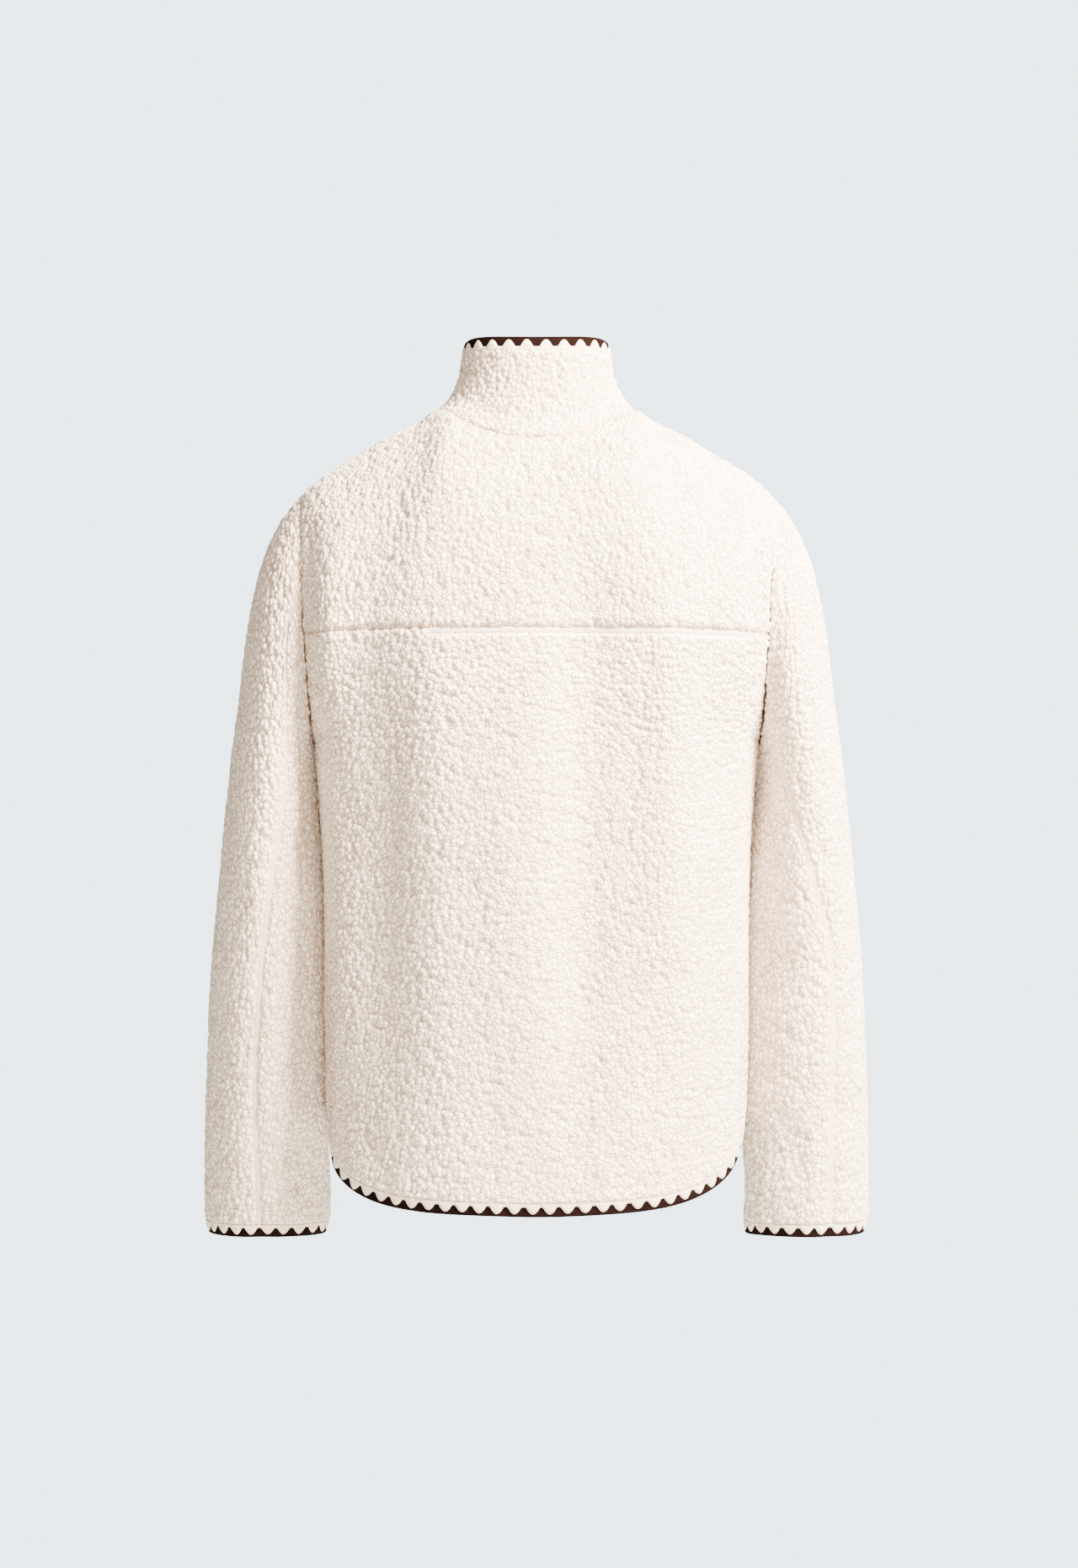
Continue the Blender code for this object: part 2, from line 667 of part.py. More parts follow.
def make_trims(grids, normals):
    down, up = np.array([0, 0, -1.0]), np.array([0, 0, 1.0])
    for side in ("left", "right"):
        name = f"sleeve_{side}"
        edge = edge_line(grids[name][-1], normals[name][-1], down)
        edge[[0, -1], 6:9] = edge[[0, -1], 6:9].mean(axis=0)
        trim_edge(("cuff", f"_{side}"), edge, True)
    edge = edge_line(grids["collar"][-1], normals["collar"][-1], up)
    trim_edge(("collar", ""), edge, False)
    pieces = (("front_left", 1), ("back_panel", -1), ("front_right", 1))
    points = [grids[n][-1][::step] for n, step in pieces]
    outwards = [normals[n][-1][::step] for n, step in pieces]
    points = np.concatenate([points[0], points[1][1:], points[2][1:]])
    outwards = np.concatenate([outwards[0], outwards[1][1:], outwards[2][1:]])
    edge = edge_line(points, outwards, down)
    trim_edge(("hem", ""), edge, False)


# ---------------------------------------------------------------- the zip


def zip_rail(grids, normals, side):
    """The front edge beside the zip and the next column, hem to collar top, with normals."""
    front = grids[f"front_{side}"][::-1]
    front_normal = normals[f"front_{side}"][::-1]
    edge, column = (0, 1) if side == "left" else (-1, -2)
    points = np.concatenate([front[:, [edge, column]], grids["collar"][1:, [edge, column]]])
    outwards = np.concatenate([front_normal[:, [edge, column]], normals["collar"][1:, [edge, column]]])
    return points, outwards


def make_tapes(grids, normals):
    for side in ("left", "right"):
        points, outwards = zip_rail(grids, normals, side)
        edge, column = points[:, 0], points[:, 1]
        middle = edge.copy()
        middle[:, 0] = math.copysign(TAPE_HALF_GAP, edge[0, 0])
        far = edge + TAPE_SHARE * (column - edge)
        far_normal = outwards[:, 0] + TAPE_SHARE * (outwards[:, 1] - outwards[:, 0])
        far_normal /= np.linalg.norm(far_normal, axis=1)[:, None]
        layers = []
        for inset in (TAPE_OUTER_INSET, TAPE_INNER_INSET):
            near = middle - inset * outwards[:, 0] * [0, 1, 1]
            at_edge = edge - inset * outwards[:, 0]
            layers.append(np.stack([near, at_edge, far - inset * far_normal], axis=1))
        name = f"zip_tape_{side}"
        add_object(name, wall_mesh(name, layers[0], layers[1], False), "tape")


def rectangle(first, second, third, plane):
    """The corners of a rectangle in the given plane, at two places on the third axis."""
    corners = ((0, 0), (1, 0), (1, 1), (0, 1), (0, 0))
    grid = np.zeros((2, 5, 3))
    for row in range(2):
        for place, (i, j) in enumerate(corners):
            grid[row, place, plane[0]] = first[i]
            grid[row, place, plane[1]] = second[j]
            grid[row, place, plane[2]] = third[row]
    return grid


def beside_zip(grid, place, up, out):
    """Points given as across, along the zip and outwards, placed on the jacket's front."""
    across = grid[..., :1] * np.array([1.0, 0, 0])
    return place + across + grid[..., 1:2] * up + grid[..., 2:3] * out


def slider_mesh(place, up, out):
    """The slider's body with a bridge over the pull tab's bar."""
    half_width, half_height = SLIDER_WIDTH / 2, SLIDER_HEIGHT / 2
    face = -SLIDER_OUTER_INSET
    crown = face + 2 * BRIDGE_HALF_OPENING
    inner, outer = BRIDGE_HALF_OPENING, BRIDGE_HALF_OPENING + BRIDGE_BAR
    bridge = (-BRIDGE_WIDTH / 2, BRIDGE_WIDTH / 2)
    around = rectangle((-outer, outer), (face - BRIDGE_BAR, crown + BRIDGE_BAR), bridge, (1, 2, 0))
    opening = rectangle((-inner, inner), (face - BRIDGE_BAR / 2, crown), bridge, (1, 2, 0))
    hoop = wall_mesh("bridge", *[beside_zip(g, place, up, out) for g in (around, opening)], True)
    work = bmesh.new()
    bmesh.ops.create_cube(work, size=1.0)
    for vert in work.verts:
        across, along = vert.co.x * 2 * half_width, vert.co.y * 2 * half_height
        depth = (-SLIDER_INNER_INSET + face) / 2 + vert.co.z * (face + SLIDER_INNER_INSET)
        vert.co = place + np.array([across, 0, 0]) + up * along + out * depth
    bmesh.ops.bevel(
        work,
        geom=list(work.edges),
        offset=SLIDER_BEVEL,
        segments=1,
        affect="EDGES",
    )
    bmesh.ops.recalc_face_normals(work, faces=work.faces)
    block = bpy.data.meshes.new("slider_block")
    work.to_mesh(block)
    work.free()
    return block, hoop


def joined(name, first_mesh, second_mesh, finish):
    """Two overlapping meshes as one solid, by a live Boolean union."""
    obj = add_object(name, first_mesh, finish)
    helper = add_object(f"{name}_bridge", second_mesh, finish)
    helper.hide_render = True
    helper.display_type = "WIRE"
    union = obj.modifiers.new("bridge", "BOOLEAN")
    union.operation = "UNION"
    union.solver = "EXACT"
    union.object = helper


def make_slider_and_pull(grids, normals):
    """The slider in the zip's opening, and the pull tab hung on its bridge."""
    edge = grids["collar"][:, 0]
    outwards = normals["collar"][:, 0]
    rows = np.linspace(0, 1, len(edge))
    place = np.array([np.interp(SLIDER_PLACE, rows, edge[:, i]) for i in range(3)])
    place[0] = 0
    out = np.array([np.interp(SLIDER_PLACE, rows, outwards[:, i]) for i in range(3)])
    out[0] = 0
    out /= np.linalg.norm(out)
    up = np.array([0, -out[2], out[1]])
    up *= np.sign(up[2])
    joined("zip_slider", *slider_mesh(place, up, out), "metal")

    bar, slot, wide = PULL_BAR / 2, PULL_SLOT_WIDTH / 2, PULL_WIDTH / 2
    outline = rectangle((-wide, wide), (-PULL_LENGTH, bar), (-bar, bar), (0, 1, 2))
    opening = rectangle((-slot, slot), (-PULL_SLOT_LENGTH, -bar), (-bar, bar), (0, 1, 2))
    origin = np.zeros(3)
    layers = [beside_zip(g, origin, up, out) for g in (outline, opening)]
    tab = add_object("zip_pull", wall_mesh("zip_pull", *layers, True), "metal")
    hinge = place + out * (BRIDGE_HALF_OPENING - SLIDER_OUTER_INSET)
    tab.location = hinge
    print("hinge", np.round(hinge, 5).tolist(), "up", np.round(up, 4).tolist())


# ---------------------------------------------------------------- build


def main():
    for obj in list(bpy.data.objects):
        bpy.data.objects.remove(obj)
    grids = body_grids()
    grids["collar"] = collar_grid()
    for side in ("left", "right"):
        grids[f"sleeve_{side}"] = sleeve_grid(side)
    normals = shared_normals(grids, inside_of)
    make_cloth(grids, normals)
    make_trims(grids, normals)
    make_tapes(grids, normals)
    make_slider_and_pull(grids, normals)


main()
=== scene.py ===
# %% [markdown]
# # A faux shearling jacket, seen from behind
# The real jacket is cut from a curly pile fabric: seven pieces of cloth, sewn together and
# filled out as if worn. Every open edge has a dark knitted binding with a cream scalloped
# braid on it. The solids in the frame give each piece its place and its wall. This script
# lays the looks around them: curls, seams, stitches, trims, a zip, materials and light.

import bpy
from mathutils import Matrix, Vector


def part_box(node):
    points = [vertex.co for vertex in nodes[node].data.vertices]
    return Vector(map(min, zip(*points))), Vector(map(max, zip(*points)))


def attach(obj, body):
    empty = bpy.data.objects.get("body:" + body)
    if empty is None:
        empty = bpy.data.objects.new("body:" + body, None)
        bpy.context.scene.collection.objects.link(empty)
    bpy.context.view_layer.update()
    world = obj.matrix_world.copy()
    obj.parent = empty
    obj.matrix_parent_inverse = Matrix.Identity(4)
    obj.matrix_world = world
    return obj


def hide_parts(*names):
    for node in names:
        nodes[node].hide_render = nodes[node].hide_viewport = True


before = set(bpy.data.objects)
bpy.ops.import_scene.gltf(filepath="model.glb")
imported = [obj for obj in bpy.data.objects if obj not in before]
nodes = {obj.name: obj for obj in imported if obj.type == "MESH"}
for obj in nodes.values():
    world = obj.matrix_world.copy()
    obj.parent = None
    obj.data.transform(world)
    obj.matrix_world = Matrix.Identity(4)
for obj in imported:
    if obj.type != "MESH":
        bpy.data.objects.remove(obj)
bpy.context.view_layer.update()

# %% Modules
import math

import bmesh
import bpy
import numpy as np
from mathutils import Vector
from mathutils.bvhtree import BVHTree

scene = bpy.context.scene

# %% [markdown]
# ## The camera
# The picture was taken from straight behind, level with the middle of the back, with a long
# lens. Behind the jacket is +Y, so the camera stands there and looks along -Y. Its distance
# and its lens go together: the frame is 1.3 m high where the jacket stands.

# %% Place the camera
CAMERA_DISTANCE = 3.0
CAMERA_ACROSS = -0.0021
CAMERA_HEIGHT = -0.294
FRAME_HEIGHT = 1.3027
SENSOR = 36.0

camera_data = bpy.data.cameras.new("camera")
camera_data.sensor_width = SENSOR
camera_data.lens = SENSOR * CAMERA_DISTANCE / FRAME_HEIGHT
camera = bpy.data.objects.new("camera", camera_data)
camera.location = (CAMERA_ACROSS, CAMERA_DISTANCE, CAMERA_HEIGHT)
camera.rotation_euler = (math.radians(90), 0, math.radians(180))
scene.collection.objects.link(camera)
scene.camera = camera
print("lens", round(camera_data.lens, 1), "mm")

# %% [markdown]
# ## Reading a piece of cloth out of the frame
# Each cloth solid is a wall whose outside is a grid of points, cut into triangles. A fine
# surface is easiest to make from rows of points, so the rows are found again: one edge row
# comes first, and the next row is always the set of points that are joined to the last one.
# Only the outside is wanted, and a wall's outside is its largest stretch without a sharp turn.

# %% Find the outside of a wall
SHARP_TURN = math.radians(50)
WELD = 1e-5


def outside_of(node):
    """The outer skin of a cloth solid as a bmesh."""
    work = bmesh.new()
    work.from_mesh(nodes[node].data)
    bmesh.ops.remove_doubles(work, verts=work.verts, dist=WELD)
    waiting = set(work.faces)
    largest, largest_area = set(), 0.0
    while waiting:
        start = waiting.pop()
        stretch, ahead = {start}, [start]
        while ahead:
            for edge in ahead.pop().edges:
                if edge.calc_face_angle(math.pi) > SHARP_TURN:
                    continue
                for face in set(edge.link_faces) & waiting:
                    waiting.discard(face)
                    stretch.add(face)
                    ahead.append(face)
        area = sum(face.calc_area() for face in stretch)
        if area > largest_area:
            largest, largest_area = stretch, area
    others = [face for face in work.faces if face not in largest]
    bmesh.ops.delete(work, geom=others, context="FACES")
    return work


# %% Put the points of a row in order
def joined_in(vert, group):
    """The points of a group that share an edge with this one."""
    return [e.other_vert(vert) for e in vert.link_edges if e.other_vert(vert) in group]


def in_line(group, start):
    """The points of an open row, from its end nearest to the start point."""
    ends = [v for v in group if len(joined_in(v, group)) == 1]
    line = [min(ends, key=lambda v: (v.co - start.co).length)]
    while len(line) < len(group):
        line.append(next(v for v in joined_in(line[-1], group) if v not in line))
    return line


def in_ring(group, last):
    """The points of a closed row, turned to lie as near as they can to the last row."""
    ring = [next(iter(group))]
    while len(ring) < len(group):
        ring.append(next(v for v in joined_in(ring[-1], group) if v not in ring))
    turns = [way[k:] + way[:k] for way in (ring, ring[::-1]) for k in range(len(ring))]
    if last is None:
        return ring
    return min(turns, key=lambda way: sum((a.co - b.co).length for a, b in zip(way, last)))


def along_border(vert):
    """The two points of an open border that lie beside this one."""
    return [e.other_vert(vert) for e in vert.link_edges if e.is_boundary]


# %% Read the rows
def first_row(work, start, towards, columns):
    """A stretch of a piece's border: from the corner that lies furthest along start."""
    border = {v for e in work.edges if e.is_boundary for v in e.verts}
    corner = max(border, key=lambda v: v.co.dot(Vector(start)))
    line = [corner, max(along_border(corner), key=lambda v: (v.co - corner.co).dot(Vector(towards)))]
    while len(line) <= columns:
        line.append(next(v for v in along_border(line[-1]) if v not in line))
    return line


def lowest_ring(work):
    """The lower open end of a tube."""
    border = {v for e in work.edges if e.is_boundary for v in e.verts}
    ring, ahead = set(), [min(border, key=lambda v: v.co.z)]
    while ahead:
        vert = ahead.pop()
        ring.add(vert)
        ahead += [other for other in along_border(vert) if other not in ring]
    return in_ring(ring, None)


def rows_of(node, rows, columns, start, towards):
    """The outside of a cloth solid as an array of rows by columns by three."""
    work = outside_of(node)
    tube = start is None
    row = lowest_ring(work) if tube else first_row(work, start, towards, columns)
    grid, seen = [row], set(row)
    for _ in range(rows):
        near = {e.other_vert(v) for v in row for e in v.link_edges} - seen
        row = in_ring(near, row) if tube else in_line(near, row[0])
        grid.append(row)
        seen |= near
    points = np.array([[v.co for v in row] for row in grid], float)
    work.free()
    return points


# %% The seven pieces and how their rows run
# For each piece: how many cells it has down and across, which way its first corner lies and
# which way the first row leaves it. A sleeve is a tube and needs neither.
CLOTH = (
    ("back_yoke", 6, 24, (1, 0, -2), (-1, 0, 0)),
    ("back_panel", 17, 24, (1, 0, 1), (-1, 0, 0)),
    ("front_left", 23, 12, (-2, 0, 1), (1, 0, 0)),
    ("front_right", 23, 12, (2, 0, 1), (-1, 0, 0)),
    ("collar", 5, 24, (0.1, 0, -1), (1, 0, 0)),
    ("sleeve_left", 22, 22, None, None),
    ("sleeve_right", 22, 22, None, None),
)
cages = {}
for piece, down, across, start, towards in CLOTH:
    cages[piece] = rows_of(piece, down, across, start, towards)
    print(piece, cages[piece].shape)

# %% [markdown]
# ## From a coarse grid to a fine one
# The solids have a point every two or three centimetres. The curls need one about every
# 1.7 mm, so a smooth curve is drawn through each column of points and then through each row.
# It passes through the solid's own points, so the piece keeps its place and size.

# %% Smooth curves through a grid
def smooth(points, parts, closed=False):
    """A curve through the points along the first axis, in equal parts between each two."""
    if closed:
        padded = np.concatenate([points[-1:], points, points[:2]])
    else:
        before = 3 * points[0] - 3 * points[1] + points[2]
        after = 3 * points[-1] - 3 * points[-2] + points[-3]
        padded = np.concatenate([[before], points, [after]])
    t = (np.arange(parts) / parts).reshape(-1, *[1] * (points.ndim - 1))
    pieces = []
    for i in range(1, len(padded) - 2):
        a, b, c, d = padded[i - 1 : i + 3]
        bend = (2 * a - 5 * b + 4 * c - d) * t**2 + (3 * b - a - 3 * c + d) * t**3
        pieces.append(b + ((c - a) * t + bend) / 2)
    line = np.concatenate(pieces)
    return line if closed else np.concatenate([line, points[-1:]])


def unit(vectors):
    """The same directions with a length of one."""
    return vectors / np.linalg.norm(vectors, axis=-1, keepdims=True)


def facing_of(grid, closed):
    """Unit normals of a grid, on the side where rows down and columns to the right show."""
    if closed:
        around = np.roll(grid, -1, axis=1) - np.roll(grid, 1, axis=1)
    else:
        around = np.gradient(grid, axis=1)
    return unit(np.cross(around, np.gradient(grid, axis=0)))


def lengths(grid, axis):
    """How far along the cloth each point is, in metres, counted along an axis of the grid."""
    step = np.linalg.norm(np.diff(grid, axis=axis), axis=2)
    start = np.zeros_like(np.take(step, [0], axis=axis))
    return np.concatenate([start, np.cumsum(step, axis=axis)], axis=axis)


# %% Turn each grid outwards
# The seam's own place is repeated from the solids, as rows of a height and how far out the
# seam runs there.
SLEEVE_SEAM = {
    "sleeve_left": (
        (-0.657, 0.230),
        (-0.550, 0.2335),
        (-0.449, 0.227),
        (-0.374, 0.217),
        (-0.299, 0.203),
    ),
    "sleeve_right": (
        (-0.657, 0.244),
        (-0.547, 0.2457),
        (-0.450, 0.2445),
        (-0.406, 0.238),
        (-0.336, 0.216),
        (-0.282, 0.199),
        (-0.227, 0.183),
        (-0.196, 0.172),
    ),
}
CHEST_HEIGHT = -0.12


def turned_out(piece, cage):
    """The grid with its columns run so that its normals point away from the jacket's hollow."""
    closed = piece in SLEEVE_SEAM
    if closed:
        inside = cage.mean(axis=1, keepdims=True)
    else:
        inside = [0, 0, 1] * np.minimum(cage, np.inf if piece == "collar" else CHEST_HEIGHT)
    away = ((cage - inside) * facing_of(cage, closed)).sum() > 0
    return cage if away else cage[:, ::-1]


# %% Start a sleeve's rings at its back seam
def from_seam(piece, cage):
    """A sleeve's grid, rolled round so that its first column is the one along the back seam."""
    heights, outs = np.array(SLEEVE_SEAM[piece]).T
    lower = cage[: len(cage) // 2]
    expected = np.interp(lower[..., 2], heights, outs)
    behind = lower[..., 1] > lower[..., 1].mean(axis=1, keepdims=True)
    miss = np.where(behind, np.abs(np.abs(lower[..., 0]) - expected), 1.0)
    return np.roll(cage, -miss.mean(axis=0).argmin(), axis=1)


TURN_STEPS = 40  # how finely a ring can be turned, in steps of a cell
TURN_REACH = 3  # the most cells that a ring is turned
TURN_COST = 0.00004  # metres off the seam that weigh as much as one turning step


def onto_seam(piece, cage):
    """A sleeve's rings, each turned a little so that its first point lies on the seam."""
    heights, outs = np.array(SLEEVE_SEAM[piece]).T
    fine = smooth(cage.swapaxes(0, 1), TURN_STEPS, True).swapaxes(0, 1)
    columns = np.arange(cage.shape[1]) * TURN_STEPS
    ways = np.arange(-TURN_REACH * TURN_STEPS, TURN_REACH * TURN_STEPS + 1)
    last, rings = 0, []
    for ring in fine:
        near = ring[ways]
        miss = np.abs(np.abs(near[:, 0]) - np.interp(near[:, 2], heights, outs))
        last = ways[(miss + TURN_COST * np.abs(ways - last)).argmin()]
        rings.append(ring[(last + columns) % len(ring)])
    return np.array(rings)


for piece in cages:
    cages[piece] = turned_out(piece, cages[piece])
    if piece in SLEEVE_SEAM:
        cages[piece] = onto_seam(piece, from_seam(piece, cages[piece]))
        print(piece, "seam from", cages[piece][0, 0].round(3), "to", cages[piece][-1, 0].round(3))

# %% [markdown]
# ## The corner beside the neck
# The top edge of the yoke and of each front runs along the shoulder and then turns sharply
# round the neck. There the rows of the solid are squeezed together, which would show as a
# dent. So the points near the corner are spread out again along the surface, and the curve
# through them is allowed a sharp turn at the corner itself.

# %% Number the points of a grid
def numbers(rows, columns, first=0):
    """Point numbers laid out as a grid, counted on from the first."""
    return first + np.arange(rows * columns).reshape(rows, columns)


def quads(index):
    """The four corners of each cell of a grid of point numbers."""
    corners = (index[:-1, :-1], index[:-1, 1:], index[1:, 1:], index[1:, :-1])
    return np.stack(corners, axis=-1).reshape(-1, 4)


# %% Spread the points beside the corner
CORNERS = {"back_yoke": (6, 18), "front_left": (6,), "front_right": (6,)}
SPREAD_CELLS = 2.6  # how far from the corner the points are spread
SPREAD_ROUNDS = 30


def from_top(piece, rows):
    """The number of each row, counted from the row with the corner."""
    return np.arange(rows)[::-1] if piece == "back_yoke" else np.arange(rows)


def spread(piece, cage):
    """The cage with its points near the corner spread evenly over the same surface."""
    cells = quads(numbers(*cage.shape[:2]))
    surface = BVHTree.FromPolygons(cage.reshape(-1, 3).tolist(), cells.tolist())
    down, across = np.meshgrid(from_top(piece, len(cage)), np.arange(cage.shape[1]), indexing="ij")
    away = [(across - corner) ** 2 + down**2 for corner in CORNERS[piece]]
    near = [np.exp(-(square / SPREAD_CELLS**2)) for square in away]
    share = np.max(near, axis=0)[1:-1, 1:-1, None]
    result = cage.copy()
    for _ in range(SPREAD_ROUNDS):
        inner = result[1:-1, 1:-1]
        around = (result[:-2, 1:-1] + result[2:, 1:-1] + result[1:-1, :-2] + result[1:-1, 2:]) / 4
        inner = inner + share * (around - inner)
        nearest = [surface.find_nearest(Vector(point))[0] for point in inner.reshape(-1, 3)]
        result[1:-1, 1:-1] = np.array(nearest).reshape(inner.shape)
    return result


for piece in CORNERS:
    cages[piece] = spread(piece, cages[piece])
    print(piece, "spread beside columns", CORNERS[piece])

# %% [markdown]
# ## Edges and seams
# Thick pile rounds over where it is cut, puffs up beside a seam and hides most seams. Only
# three show: the neck seam as a soft crack, and the yoke seam and the sleeves' back seams as
# flat stitched bands where the curls are sheared away. Each edge of a piece has its kind, and
# the kind says how the surface drops and how the curls fade near it.

# %% Soft steps and round edges
def eased(values, low, high):
    """0 below low, 1 above high and a soft rise between them."""
    t = np.clip((values - low) / (high - low), 0, 1)
    return t * t * (3 - 2 * t)


def rounded_off(distance, radius):
    """The drop of a quarter circle towards an edge."""
    near = np.clip(radius - distance, 0, radius)
    return radius - np.sqrt(radius**2 - near**2)


# %% How each kind of edge drops and thins the pile
BAND_HALF = 0.0019  # half the width of a stitched band on a sleeve
BAND_DEPTH = 0.0021
PANEL_BAND = 0.0052  # width of the band below the yoke
BAND_SLOPE = 0.0019  # over which the pile rises beside a band

# How far each kind rounds off, the least share of curls it leaves and how far in they are full.
ROUNDED = {
    "free": (0.0034, 0.25, 0.005),
    "zip": (0.0032, 0.40, 0.004),
    "neck": (0.0036, 0.50, 0.004),
    "flare": (0.0036, 0.50, 0.004),
    "overhang": (0.0024, 0.75, 0.003),
}
# A soft wave beside an edge: its height outwards, how far in it stands and its reach.
WAVES = {
    "neck": (-0.0016, 0, 0.010),
    "flare": (0.0022, 0, 0.012),
    "overhang": (0.0008, 0.006, 0.004),
    "hidden": (-0.0006, 0, 0.004),
}


def edge_effect(kind, distance):
    """The drop near an edge, in metres, and how much of the curls is left."""
    if kind == "band":
        rise = eased(distance, PANEL_BAND, PANEL_BAND + BAND_SLOPE)
        return BAND_DEPTH * (1 - rise), rise
    drop, left = np.zeros_like(distance), np.ones_like(distance)
    if kind in ROUNDED:
        radius, least, full = ROUNDED[kind]
        drop = rounded_off(distance, radius)
        left = least + (1 - least) * eased(distance, 0, full)
    if kind in WAVES:
        height, middle, reach = WAVES[kind]
        drop = drop - height * np.exp(-(((distance - middle) / reach) ** 2))
    return drop, left


# %% The kinds, edge by edge
# Each piece has a kind for its first row, its last row, its first column and its last column.
# The top of the yoke and of each front is a neck seam as far as the neck's side and a hidden
# shoulder seam from there. Below the yoke, the band is lost under the curls on the wearer's
# left.
EDGES = {
    "back_yoke": ("overhang", "neck_and_shoulder", "hidden", "hidden"),
    "back_panel": ("band", "free", "hidden", "hidden"),
    "front_left": ("neck_and_shoulder", "free", "hidden", "zip"),
    "front_right": ("neck_and_shoulder", "free", "zip", "hidden"),
    "collar": ("flare", "free", "zip", "zip"),
    "sleeve_left": ("free", "hidden", None, None),
    "sleeve_right": ("free", "hidden", None, None),
}
NECK_SIDE = 0.0840
BLEND = 0.004  # half the width over which one kind of edge turns into the next
BAND_ENDS = (-0.178, 0.086)  # between these the stitched band below the yoke shows
BAND_FADE = 0.010  # over which the curls open at the band's right end

# %% Distances from each edge of a grid
def edge_distances(grid, closed):
    """How far each point is from the first row, the last row and then the same for columns."""
    distances = []
    for axis in (0,) if closed else (0, 1):
        along = lengths(grid, axis)
        distances += [along, np.take(along, [-1], axis=axis) - along]
    return distances


def round_seam(grid):
    """How far each point of a sleeve's grid is from its back seam, either way round."""
    step = np.linalg.norm(np.roll(grid, -1, axis=1) - grid, axis=2)
    around = np.cumsum(step, axis=1) - step
    return np.minimum(around, step.sum(axis=1, keepdims=True) - around)


# %% Add up the effects of every edge
# Brown shade is painted into the colour in three places where shadow falls: in the seams, in the cracks
# beside a sleeve's band and on the sides of the body near the hem, which face a sleeve.
SEAM_SHADE = 0.0032  # how far the brown of a seam reaches into the pile
YOKE_SHADE = 0.6  # the yoke seam's share of it
CRACK_SHADE = 0.8  # and that of the cracks beside a sleeve's band
CRACK_OUT = BAND_HALF + 0.0006
CRACK_REACH = 0.0011
GAP_SHADE = {"front_left": -0.52, "front_right": -0.38, "back_panel": -0.45}  # its upper end
GAP_FADE = 0.03
GAP_FACING = (0.86, 0.97)  # how much of the normal points sideways where the shade sets in


def effects(piece, grid):
    """The drop, the share of curls left and the painted shade of seams and gaps at each point of a fine
    grid.
    """
    closed = piece in SLEEVE_SEAM
    drop, left, seam = np.zeros(grid.shape[:2]), np.ones(grid.shape[:2]), np.zeros(grid.shape[:2])
    out = grid[..., 0]
    for kind, distance in zip(EDGES[piece], edge_distances(grid, closed)):
        shade = np.exp(-((distance / SEAM_SHADE) ** 2))
        if kind == "neck_and_shoulder":
            neck, shoulder = edge_effect("neck", distance), edge_effect("hidden", distance)
            share = eased(np.abs(out), NECK_SIDE - BLEND, NECK_SIDE + BLEND)
            edge = [a + share * (b - a) for a, b in zip(neck, shoulder)]
            seam += shade * (1 - share)
        elif kind == "band":
            shown = eased(out, BAND_ENDS[0], BAND_ENDS[0] + BAND_FADE)
            shown = shown * (1 - eased(out, BAND_ENDS[1] - BLEND, BAND_ENDS[1] + BLEND))
            band, crack = edge_effect("band", distance), edge_effect("overhang", distance)
            edge = [b + shown * (a - b) for a, b in zip(band, crack)]
            seam += YOKE_SHADE * shade
        else:
            edge = edge_effect(kind, distance)
            if kind in ("flare", "overhang"):
                seam += shade
        drop, left = drop + edge[0], left * edge[1]
    if closed:
        beside = round_seam(grid)
        rise = eased(beside, BAND_HALF, BAND_HALF + BAND_SLOPE)
        drop, left = drop + BAND_DEPTH * (1 - rise), left * rise
        seam += CRACK_SHADE * np.exp(-(((beside - CRACK_OUT) / CRACK_REACH) ** 2))
    # painted shade on the sides of the body that face a sleeve, low down
    if piece in GAP_SHADE:
        sideways = np.abs(cloth[piece]["normals"][..., 0])
        top = GAP_SHADE[piece]
        below = 1 - eased(grid[..., 2], top - GAP_FADE, top + GAP_FADE)
        seam += eased(sideways, *GAP_FACING) * below
    return drop, left, np.clip(seam, 0, 1)
